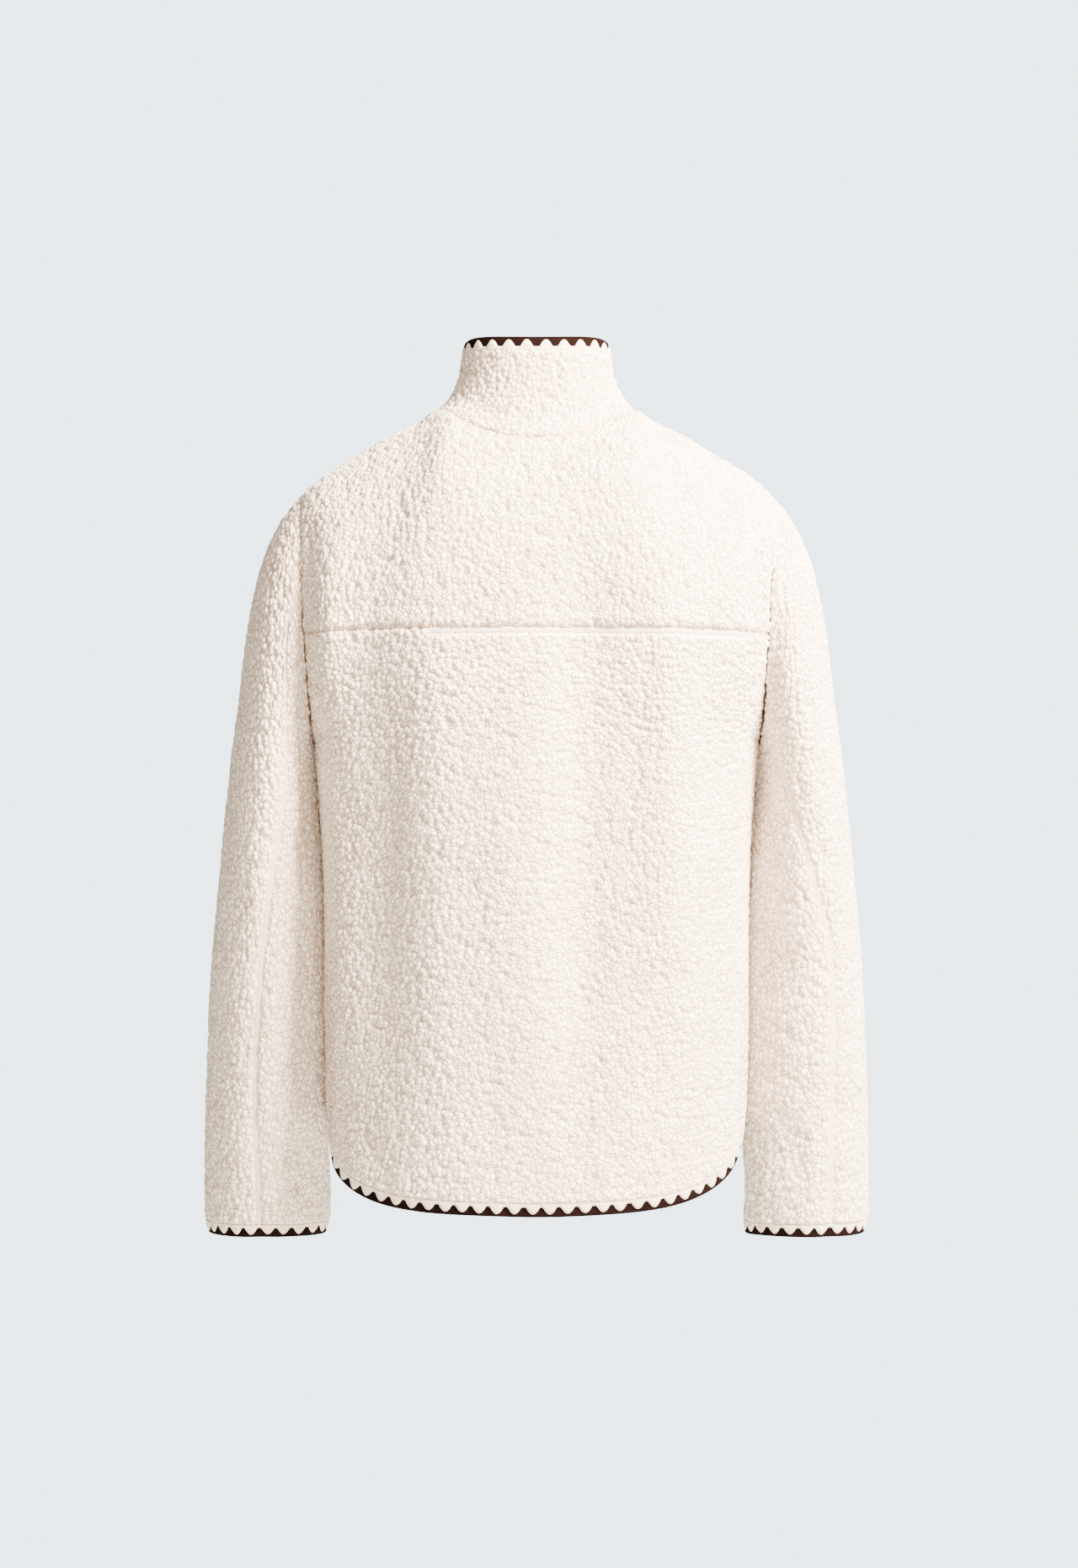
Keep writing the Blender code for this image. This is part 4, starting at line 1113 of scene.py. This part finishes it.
# %% Raise the curls on every shell
def grown(obj, tree, values):
    """Runs a Geometry Nodes tree on an object and keeps the result as its plain mesh."""
    modifier = obj.modifiers.new(tree.name, "NODES")
    modifier.node_group = tree
    for item in tree.interface.items_tree:
        if item.in_out == "INPUT" and item.name in values:
            modifier[item.identifier] = values[item.name]
    graph = bpy.context.evaluated_depsgraph_get()
    evaluated = obj.evaluated_get(graph)
    mesh = bpy.data.meshes.new_from_object(evaluated, preserve_all_data_layers=True, depsgraph=graph)
    obj.modifiers.clear()
    old, obj.data = obj.data, mesh
    bpy.data.meshes.remove(old)
    mesh.name = obj.name
    return obj


for piece, obj in bases.items():
    grown(obj, sherpa, {"Pile": pile_material, "Ground": ground_material})
    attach(obj, "garment")
    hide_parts(piece)
    triangles = sum(len(face.vertices) - 2 for face in obj.data.polygons)
    print(obj.name, triangles, "triangles", [m.name for m in obj.data.materials])

# %% [markdown]
# ## Bands, bindings and braids are all strips
# Each is a flat shape carried along a line on the cloth. So one function makes them all: it
# takes the line, the direction sideways and the direction outwards at each place, and a
# closed section, which may change along the way. It also lays a UV map in metres along the
# strip and round its section, for the knitted and woven patterns to follow.

# %% Measure a line and a mesh
def distance_along(line):
    """How far along a line each of its points is."""
    step = np.linalg.norm(np.diff(line, axis=0), axis=1)
    return np.concatenate([[0], np.cumsum(step)])


def signed_volume(mesh):
    """The volume inside a closed mesh, negative where its faces point inwards."""
    work = bmesh.new()
    work.from_mesh(mesh)
    volume = work.calc_volume(signed=True)
    work.free()
    return volume


# %% Carry a section along a line
STRIP_CORNER = math.radians(55)


def swept_mesh(name, line, sideways, outwards, sections, closed):
    """A closed strip. Sections are closed loops of sideways and outwards offsets in metres."""
    sections = np.broadcast_to(sections, (len(line), *np.shape(sections)[-2:]))
    across, out = sections[..., :1], sections[..., 1:]
    points = line[:, None] + across * sideways[:, None] + out * outwards[:, None]
    index = numbers(*points.shape[:2])
    index = np.hstack([index, index[:, :1]])
    if closed:
        index = np.vstack([index, index[:1]])
    along = distance_along(np.concatenate([line, line[:1]]))
    around = distance_along(np.concatenate([sections[0], sections[0][:1]]))
    u, v = np.meshgrid(along[: len(index)], around, indexing="ij")
    corners = quads(numbers(*u.shape))
    uv = np.stack([u.ravel()[corners], v.ravel()[corners]], axis=-1).reshape(-1, 2)
    faces = quads(index).tolist()
    if not closed:
        faces += [index[0, -2::-1].tolist(), index[-1, :-1].tolist()]
        uv = np.concatenate([uv, np.zeros((2 * points.shape[1], 2))])
    mesh = bpy.data.meshes.new(name)
    mesh.from_pydata(points.reshape(-1, 3).tolist(), [], faces)
    mesh.uv_layers.new(name="UVMap").data.foreach_set("uv", uv.ravel())
    if signed_volume(mesh) < 0:
        mesh.flip_normals()
    mesh.shade_smooth()
    mesh.set_sharp_from_angle(angle=STRIP_CORNER)
    return mesh


# %% Put a finished piece in the scene
def add_piece(name, mesh, material, slot, *replaced):
    """Puts a finished mesh in the scene on the garment's body."""
    obj = bpy.data.objects.new(name, mesh)
    scene.collection.objects.link(obj)
    if material:
        mesh.materials.clear()
        mesh.materials.append(material)
    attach(obj, "garment")
    if replaced:
        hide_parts(*replaced)
    print(name, sum(len(face.vertices) - 2 for face in mesh.polygons), "triangles")
    return obj


# %% [markdown]
# ## Small pieces along a line
# Stitches and zip teeth are one small shape many times over. A Geometry Nodes tree sets them
# along a line: it makes the line a curve, puts a point on it at every pitch, turns each copy
# to the cloth and varies its size a little with a fixed seed.

# %% Geometry Nodes tree: pieces along a line
UNEVENNESS = 0.12  # how much a stitch's size varies
row_inputs = (
    ("Geometry", GEOMETRY, None),
    ("Piece", "NodeSocketObject", None),
    ("Pitch", FLOAT, 0.0026),
    ("Unevenness", FLOAT, UNEVENNESS),
    ("Seed", "NodeSocketInt", 1),
    ("Material", "NodeSocketMaterial", None),
)
pieces, given, result = new_tree(
    "pieces along a line", "GeometryNodeTree", row_inputs, "Geometry", GEOMETRY
)
curve = add_node(pieces, "GeometryNodeMeshToCurve", None, {0: given["Geometry"]}).outputs[0]
spaced = {"Curve": curve, "Length": given["Pitch"]}
points = add_node(pieces, "GeometryNodeResampleCurve", {"mode": "LENGTH"}, spaced).outputs[0]
tangent = add_node(pieces, "GeometryNodeInputTangent").outputs[0]
axes = {"Primary Axis": named(pieces, "facing", "FLOAT_VECTOR"), "Secondary Axis": tangent}
settings = {"primary_axis": "Z", "secondary_axis": "Y"}
turn = add_node(pieces, "FunctionNodeAxesToRotation", settings, axes).outputs[0]
scales = {
    0: maths(pieces, "SUBTRACT", 1.0, given["Unevenness"]),
    1: maths(pieces, "ADD", 1.0, given["Unevenness"]),
    "Seed": given["Seed"],
}
scale = add_node(pieces, "FunctionNodeRandomValue", {"data_type": "FLOAT_VECTOR"}, scales).outputs[0]
one = add_node(pieces, "GeometryNodeObjectInfo", None, {"Object": given["Piece"]}).outputs["Geometry"]
copies = {"Points": points, "Instance": one, "Rotation": turn, "Scale": scale}
copies = add_node(pieces, "GeometryNodeInstanceOnPoints", None, copies).outputs[0]
whole = add_node(pieces, "GeometryNodeRealizeInstances", None, {"Geometry": copies}).outputs[0]
finished = {"Geometry": whole, "Material": given["Material"]}
finished = add_node(pieces, "GeometryNodeSetMaterial", None, finished).outputs[0]
pieces.links.new(finished, result["Geometry"])
print(pieces.name, len(pieces.nodes), "nodes")


# %% Make one small piece
BEVEL_SHARE = 0.2
PIECE_CORNER = math.radians(40)


def small_shape(name, size, round_shape):
    """A rounded bead or a bevelled block, as the piece that a row repeats."""
    work = bmesh.new()
    if round_shape:
        bmesh.ops.create_icosphere(work, subdivisions=1, radius=0.5)
    else:
        bmesh.ops.create_cube(work, size=1.0)
    bmesh.ops.scale(work, vec=Vector(size), verts=work.verts)
    if not round_shape:
        bevel = min(size) * BEVEL_SHARE
        bmesh.ops.bevel(work, geom=list(work.edges), offset=bevel, segments=1, affect="EDGES")
    mesh = bpy.data.meshes.new(name)
    work.to_mesh(mesh)
    work.free()
    mesh.shade_smooth()
    mesh.set_sharp_from_angle(angle=PIECE_CORNER)
    obj = bpy.data.objects.new(name, mesh)
    scene.collection.objects.link(obj)
    return obj


# %% Set copies along a line
def row_mesh(name, line, facing, size, pitch, material, seed, round_shape=True, unevenness=UNEVENNESS):
    """The plain mesh of a row of small pieces along a line on the cloth."""
    mesh = bpy.data.meshes.new(name)
    mesh.from_pydata(line.tolist(), [(i, i + 1) for i in range(len(line) - 1)], [])
    store(mesh, "facing", facing)
    path = bpy.data.objects.new(name, mesh)
    scene.collection.objects.link(path)
    shape = small_shape(name + "_one", size, round_shape)
    values = {"Piece": shape, "Pitch": pitch, "Unevenness": unevenness, "Seed": seed, "Material": material}
    mesh = grown(path, pieces, values).data
    bpy.data.objects.remove(path)
    bpy.data.meshes.remove(shape.data)
    return mesh


def joined_mesh(name, meshes):
    """Several meshes with one material as a single mesh."""
    work = bmesh.new()
    for mesh in meshes:
        work.from_mesh(mesh)
    result = bpy.data.meshes.new(name)
    work.to_mesh(result)
    work.free()
    result.materials.append(meshes[0].materials[0])
    return result


# %% [markdown]
# ## The stitched bands
# The yoke seam and the sleeves' back seams are flat seams: the pile is sheared from both
# edges, which are laid side by side and covered by a ladder of thread. Each gets a low strip
# in its groove, two rows of small stitches on the sleeves and rungs across.

# %% Materials of the bands
band_material = knitted(
    "seam band",
    strip_place,
    stitch=(0.0010, 0.0008, 0.00016),
    tones=((0.80, 0.68, 0.56, 1), (0.68, 0.55, 0.43, 1), 0.5, 0.02),
    # painted shade in the dips between stitches
    gaps=(0.5, -0.7, 0.4, (0.60, 0.46, 0.34, 1)),
    Roughness=0.9,
    Sheen_Weight=0.1,
)

PLY_WAVES = 900.0  # in a metre
FINE_BUMP_DEPTH = 0.0001
thread_material, tree, shader = new_material("sewing thread", Roughness=0.6, Sheen_Weight=0.1)
wave = {"Vector": coordinates(tree, "Object"), "Scale": PLY_WAVES, "Distortion": 2.0}
ply = add_node(tree, "ShaderNodeTexWave", None, wave).outputs["Fac"]
tone = toned(tree, (0.86, 0.76, 0.65, 1), (0.74, 0.62, 0.50, 1), 0.5, 0.01)
shaded = mixed(tree, maths(tree, "MULTIPLY", ply, 0.35), tone, (0.66, 0.53, 0.41, 1))
tree.links.new(shaded, shader.inputs["Base Color"])
bumped(tree, shader, ply, 0.5, FINE_BUMP_DEPTH)
print(thread_material.name, len(tree.nodes), "nodes")

# %% Lay the bands and their stitches
BAND_WIDTH = 0.0035
BAND_HEIGHT = 0.0005
BAND_HALF_SECTION = ((-0.5, -1.2), (-0.46, 0.5), (-0.25, 0.9))  # in widths and heights
BAND_TOP = 1.1  # where the stitches lie on it, in heights
STITCH = (0.0005, 0.0017, 0.0005)
RUNG = (0.0020, 0.0005, 0.0005)
STITCH_PITCH = 0.0026
YOKE_RUNG = (0.0036, 0.0007, 0.0006)
YOKE_PITCH = 0.0019
ROW_OUT = 0.0012  # how far each row of stitches is from the middle of the band
ROW_SEEDS = {-1: 11, 1: 29}


def seam_line(piece):
    """The line of a stitched band on its cloth, with its normals and its direction sideways."""
    grid, normals = cloth[piece]["grid"], cloth[piece]["normals"]
    if piece == "back_panel":
        shown = (grid[0, :, 0] > BAND_ENDS[0]) & (grid[0, :, 0] < BAND_ENDS[1])
        line = grid[0] + PANEL_BAND / 2 * unit(grid[1] - grid[0])
        line, facing = line[shown], normals[0][shown]
    else:
        line, facing = grid[:, 0], normals[:, 0]
    sideways = unit(np.cross(np.gradient(line, axis=0), facing))
    return line - BAND_DEPTH * facing, facing, sideways


mirrored = [(-across, up) for across, up in reversed(BAND_HALF_SECTION)]
section = np.array([*BAND_HALF_SECTION, (0, 1.0), *mirrored]) * [BAND_WIDTH, BAND_HEIGHT]
for seed, piece in enumerate(("back_panel", "sleeve_left", "sleeve_right")):
    line, facing, sideways = seam_line(piece)
    mesh = swept_mesh(piece + "_seam_band", line, sideways, facing, section, False)
    add_piece(piece + "_seam_band", mesh, band_material, "cream_pile")
    line = line + BAND_TOP * BAND_HEIGHT * facing
    size, pitch = (YOKE_RUNG, YOKE_PITCH) if piece == "back_panel" else (RUNG, STITCH_PITCH)
    rows = [row_mesh("rungs", line, facing, size, pitch, thread_material, seed)]
    for side in () if piece == "back_panel" else (-1, 1):
        beside, own_seed = line + side * ROW_OUT * sideways, seed + ROW_SEEDS[side]
        row = row_mesh("row", beside, facing, STITCH, STITCH_PITCH, thread_material, own_seed)
        rows.append(row)
    add_piece(piece + "_stitches", joined_mesh(piece + "_stitches", rows), None, "cream_braid")

# %% [markdown]
# ## Binding and scalloped braid
# Every free edge is closed with a strip of dark rib knit, folded round it. A cream braid is
# sewn over its upper part, with a straight edge under the pile and a row of teeth that point
# to the edge of the jacket. The teeth are wide at the root and have small round tips.

# %% Materials of the trims
binding_material = knitted(
    "dark binding",
    strip_place,
    stitch=(0.0013, 0.0010, 0.00035),
    tones=((0.0080, 0.0034, 0.0030, 1), (0.0045, 0.0021, 0.0018, 1), 0.8, 0.03),
    # painted highlight on the tops of the ribs
    gaps=(0.5, 1.4, 0.6, (0.0170, 0.0064, 0.0054, 1)),
    Roughness=0.9,
    Specular_IOR_Level=0.03,
)
braid_material = knitted(
    "cream braid",
    strip_place,
    stitch=(0.0009, 0.0012, 0.00018),
    tones=((0.87, 0.765, 0.64, 1), (0.78, 0.65, 0.51, 1), 0.5, 0.012),
    gaps=(0.4, -0.8, 0.35, (0.64, 0.49, 0.36, 1)),
    # painted shade in the dips between stitches
    Roughness=0.8,
    Sheen_Weight=0.15,
)

# %% Section of the binding
BINDING_DEPTH = 0.0100
BINDING_INSETS = (0.0026, 0.0060)  # its outer and inner side, in from the cloth's outside
BINDING_TUCK = 0.0020  # how far the binding reaches in under the pile


def half_round(centre, radius, turn, count):
    """Points on half a circle that bulges towards an angle."""
    angles = turn + np.linspace(-math.pi / 2, math.pi / 2, count)
    return [(centre + radius * math.cos(t), radius * math.sin(t)) for t in angles]


def binding_section():
    """The folded strip: flat on both sides and round at both ends."""
    radius = (BINDING_INSETS[1] - BINDING_INSETS[0]) / 2
    middle = (BINDING_DEPTH - BINDING_TUCK) / 2
    outer = half_round(BINDING_DEPTH - radius, radius, 0, 6)
    inner = half_round(radius - BINDING_TUCK, radius, math.pi, 4)
    loop = [*outer, (middle, radius), *inner, (middle, -radius)]
    return np.array(loop) - [0, sum(BINDING_INSETS) / 2]


# %% Sections of the braid
BRAID_TUCK = 0.0009
BRAID_INSETS = (0.0007, 0.0027)
BRAID_EDGE = 0.0003  # how thick it is at its edge
BRAID_VALLEY = 0.0018  # how far it reaches between two teeth and at a tooth's tip
BRAID_TIP = 0.0075
BRAID_BULGE = (2.6, 0.6)  # powers that make its top flat in the middle and round at the edge
BRAID_LIFT = 0.15  # how much thicker a tooth is than a valley
BRAID_POINTS = 8  # across its top
TIP_SHIFTS = (-0.03, 0.03)  # differences between one tooth and the next
TIP_REACHES = (0.92, 1.04)
STEPS_PER_SCALLOP = 14

# The pitch, half a tooth's width as a share of it, and how round the tooth's sides are.
TOOTH = {"hem": (0.0143, 0.39, 2.0), "cuff": (0.0143, 0.39, 1.9), "collar": (0.0157, 0.34, 2.0)}


def braid_sections(edge, count, generator):
    """The braid's section at each place. Each tooth has its own small differences."""
    half_width, roundness = TOOTH[edge][1:]
    place = np.arange(count * STEPS_PER_SCALLOP) / STEPS_PER_SCALLOP
    tooth = place.astype(int)
    shift = generator.uniform(*TIP_SHIFTS, count)[tooth]
    reach = (BRAID_TIP - BRAID_VALLEY) * generator.uniform(*TIP_REACHES, count)[tooth]
    away = np.abs(place - tooth - 0.5 + shift)
    rise = np.clip(1 - (away / half_width) ** roundness, 0, 1)[:, None]
    width = BRAID_VALLEY + reach[:, None] * rise
    share = np.linspace(0, 1, BRAID_POINTS)
    off = -BRAID_TUCK + (width + BRAID_TUCK) * share
    thick = BRAID_INSETS[1] - BRAID_INSETS[0] - BRAID_EDGE
    bulge = (1 - share ** BRAID_BULGE[0]) ** BRAID_BULGE[1] * (1 + BRAID_LIFT * (rise - 0.5))
    top = np.stack([off, BRAID_EDGE - BRAID_INSETS[1] + thick * bulge], axis=-1)
    under = [off[:, [-1, 0]], np.full((len(off), 2), -BRAID_INSETS[1])]
    return np.concatenate([top, np.stack(under, axis=-1)], axis=1)


# %% The edges that the trims follow
MEETS = 0.002  # two ends nearer than this belong together


def edge_of(piece, row, towards):
    """An edge of a fine grid as rows of point, normal and direction off the edge."""
    grid, normals = cloth[piece]["grid"], cloth[piece]["normals"]
    return np.concatenate([grid[row], normals[row], unit(grid[row] - grid[towards])], axis=1)


def chained(edges):
    """Edges that meet end to end as one line, each turned to start where the last one stopped."""
    line = edges[0]
    if min(np.linalg.norm(edges[1][e, :3] - line[0, :3]) for e in (0, -1)) < MEETS:
        line = line[::-1]
    for edge in edges[1:]:
        gaps = [np.linalg.norm(edge[e, :3] - line[-1, :3]) for e in (0, -1)]
        line = np.concatenate([line, (edge if gaps[0] <= gaps[1] else edge[::-1])[1:]])
    return line


def evenly(line, steps, closed):
    """The line at even places, and its length. A closed one doesn't repeat its first place."""
    if closed:
        line = np.concatenate([line, line[:1]])
    along = distance_along(line[:, :3])
    wanted = np.linspace(0, along[-1], steps + 1)
    even = np.stack([np.interp(wanted, along, line[:, i]) for i in range(line.shape[1])], axis=-1)
    return (even[:-1] if closed else even), along[-1]


def trim_frame(line, closed):
    """Point, outward normal and direction off the edge, square to each other."""
    point, normal, off = line[:, :3], unit(line[:, 3:6]), line[:, 6:9]
    if closed:
        tangent = np.roll(point, -1, axis=0) - np.roll(point, 1, axis=0)
    else:
        tangent = np.gradient(point, axis=0)
    across = unit(np.cross(tangent, normal))
    return point, normal, across * np.sign((across * off).sum(axis=1, keepdims=True))


# %% Make the trims
hem = chained([edge_of(piece, -1, -3) for piece in ("front_left", "back_panel", "front_right")])
TRIMS = (
    ("cuff", "_left", edge_of("sleeve_left", 0, 2), True),
    ("cuff", "_right", edge_of("sleeve_right", 0, 2), True),
    ("collar", "", edge_of("collar", -1, -3), False),
    ("hem", "", hem, False),
)
TRIM_SEED = 7
generator = np.random.default_rng(TRIM_SEED)
for edge, side, line, closed in TRIMS:
    length = evenly(line, 1, closed)[1]
    count = round(length / TOOTH[edge][0])
    steps = count * STEPS_PER_SCALLOP
    point, normal, off = trim_frame(evenly(line, steps // 2, closed)[0], closed)
    node = f"{edge}_binding{side}"
    mesh = swept_mesh(node + "_knit", point, off, normal, binding_section(), closed)
    add_piece(node + "_knit", mesh, binding_material, "dark_binding", node)
    point, normal, off = trim_frame(evenly(line, steps, closed)[0], closed)
    sections = braid_sections(edge, count, generator)
    if not closed:
        sections = np.concatenate([sections, sections[-1:]])
    node = f"{edge}_braid{side}"
    mesh = swept_mesh(node + "_teeth", point, off, normal, sections, closed)
    add_piece(node + "_teeth", mesh, braid_material, "cream_braid", node)
    print(edge, side, count, "scallops on", round(length, 3), "m")

# %% [markdown]
# ## The zip
# The photo doesn't show the front, so the zip is a plain one, closed up to the collar. The
# solids give its tapes, slider and pull tab, which keep their shapes and get woven and metal
# finishes. The teeth are a row on each side, half a pitch apart so that they mesh. Above the
# slider the two rows part a little.

# %% Materials of the zip
tape_material = knitted(
    "zip tape",
    flat_place,
    stitch=(0.0007, 0.0006, 0.00012),
    tones=((0.72, 0.61, 0.49, 1), (0.60, 0.49, 0.38, 1), 0.5, 0.02),
    # painted shade in the dips between stitches
    gaps=(0.4, -0.8, 0.5, (0.50, 0.40, 0.30, 1)),
    Roughness=0.8,
)

BRUSHED = (300.0, 300.0, 3000.0)  # marks in a metre along each axis
METAL_ROUGHNESS = (0.24, 0.16)  # the least, and how much the marks add at most
metal_material, tree, shader = new_material("zip metal", Metallic=1.0)
stretched = {"Vector": coordinates(tree, "Object"), "Scale": BRUSHED}
stretched = add_node(tree, "ShaderNodeMapping", None, stretched).outputs[0]
brush = noise(tree, stretched, 1.0, 3.0)[0]
base = toned(tree, (0.62, 0.57, 0.50, 1), (0.42, 0.38, 0.33, 1), 0.5, 0.004)
tree.links.new(base, shader.inputs["Base Color"])
marks = maths(tree, "MULTIPLY", brush, METAL_ROUGHNESS[1])
roughness = maths(tree, "ADD", METAL_ROUGHNESS[0], marks)
tree.links.new(roughness, shader.inputs["Roughness"])
bumped(tree, shader, brush, 0.2, FINE_BUMP_DEPTH)
print(metal_material.name, len(tree.nodes), "nodes")

for node in ("zip_tape_left", "zip_tape_right", "zip_slider", "zip_pull"):
    material = tape_material if "tape" in node else metal_material
    for material_slot in nodes[node].material_slots:
        material_slot.material = material

# %% Zip teeth
TOOTH_SIZE = (0.0034, 0.0013, 0.0019)
TOOTH_PITCH = 0.0025
TOOTH_OUT = 0.0011  # the middle of a tooth from the middle of the zip
TOOTH_PARTED = 0.0013  # how much further out it is at the top of the zip
TOOTH_INSET = 0.0063  # in from the outside of the pile
TOOTH_SEED = 3
slider_low, slider_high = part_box("zip_slider")


def zip_line(side):
    """The line of one row of teeth from the hem up, with the direction that it faces."""
    front, collar = cloth[f"front_{side}"], cloth["collar"]
    front_edge = int(np.abs(front["grid"][0, :, 0]).argmin())
    collar_edge = 0 if side == "left" else -1
    line = np.concatenate([front["grid"][::-1, front_edge], collar["grid"][1:, collar_edge]])
    facing = np.concatenate([front["normals"][::-1, front_edge], collar["normals"][1:, collar_edge]])
    facing = unit(facing * [0, 1, 1])
    line = line - TOOTH_INSET * facing
    parted = TOOTH_PARTED * eased(line[:, 2], (slider_low[2] + slider_high[2]) / 2, line[-1, 2])
    line[:, 0] = (1 if side == "left" else -1) * (TOOTH_OUT + parted)
    return line, facing


rows = []
for side in ("left", "right"):
    line, facing = zip_line(side)
    if side == "right":
        line = line + [0, 0, TOOTH_PITCH / 2]
    row = row_mesh("teeth", line, facing, TOOTH_SIZE, TOOTH_PITCH, metal_material, TOOTH_SEED, False, 0.0)
    rows.append(row)
add_piece("zip_teeth", joined_mesh("zip_teeth", rows), None, "zip_metal")

# %% [markdown]
# ## Light and floor
# The light comes from the right, softly and from above: the right half of the back is almost
# white, the left half is beige, and the sides of the sleeves that face the body are brown. A
# lamp nearly a metre wide, far round to the right, does that. A weaker one fills from near the
# camera. The sky gives a warm glow on the cloth and a pale cool tone behind it.

# %% Lamps
# Each row has a name, a place, a target, a size in metres and a power in watts.
LAMPS = (
    ("key", (-1.5, 1.20, 1.25), (0, 0, -0.20), 0.9, 1120),
    ("fill", (-0.3, 2.6, 0.5), (0, 0, -0.28), 1.6, 100),
)
WARM = (1.0, 0.80, 0.64)
for name, place, target, size, power in LAMPS:
    data = bpy.data.lights.new(name, "AREA")
    data.energy, data.size, data.color = power, size, WARM
    lamp = bpy.data.objects.new(name, data)
    lamp.location = place
    lamp.rotation_euler = (Vector(target) - Vector(place)).to_track_quat("-Z", "Y").to_euler()
    scene.collection.objects.link(lamp)
    print(name, power, "W")

# %% Sky
GLOW = (0.66, 0.573, 0.472, 1)
BACKDROP = (3.35, 4.1, 4.45, 1)
world = bpy.data.worlds.new("studio")
scene.world = world
world.use_nodes = True
sky = world.node_tree
path = add_node(sky, "ShaderNodeLightPath")
glow = mixed(sky, path.outputs["Is Camera Ray"], GLOW, BACKDROP)
sky.links.new(glow, sky.nodes["Background"].inputs["Color"])
print("glow", GLOW[:3], "backdrop", BACKDROP[:3])

# %% Floor
FLOOR_HEIGHT = -1.25
FLOOR_RADIUS = 1.35
floor_material, tree, shader = new_material("pale floor", Roughness=0.7)
base = toned(tree, (0.60, 0.66, 0.70, 1), (0.56, 0.62, 0.66, 1), 0.5, 0.3)
tree.links.new(base, shader.inputs["Base Color"])
work = bmesh.new()
bmesh.ops.create_circle(work, cap_ends=True, radius=FLOOR_RADIUS, segments=96)
bmesh.ops.translate(work, vec=(0, 0, FLOOR_HEIGHT), verts=work.verts)
floor_mesh = bpy.data.meshes.new("floor")
work.to_mesh(floor_mesh)
work.free()
floor_mesh.materials.append(floor_material)
floor = bpy.data.objects.new("floor", floor_mesh)
scene.collection.objects.link(floor)
print("floor at", FLOOR_HEIGHT, "m")

# %% [markdown]
# ## The cut of each piece
# Every piece of cloth was cut flat before it was sewn. Its cut follows from its grid: the
# widest row, the longest column and the area of all its cells.


def flat_size(piece):
    """Width, length and area of the cut, in metres and square metres."""
    grid = cloth[piece]["grid"]
    if piece in SLEEVE_SEAM:
        grid = np.concatenate([grid, grid[:, :1]], axis=1)
    width, length = lengths(grid, 1)[:, -1].max(), lengths(grid, 0)[-1].max()
    across, down = np.diff(grid, axis=1)[:-1], np.diff(grid, axis=0)[:, :-1]
    area = np.linalg.norm(np.cross(across, down), axis=2).sum()
    return width, length, min(area, width * length)


for piece, obj in bases.items():
    width, length, area = flat_size(piece)
    print(piece, "cut", round(width, 3), "by", round(length, 3), "m,", round(area, 4), "square metres")
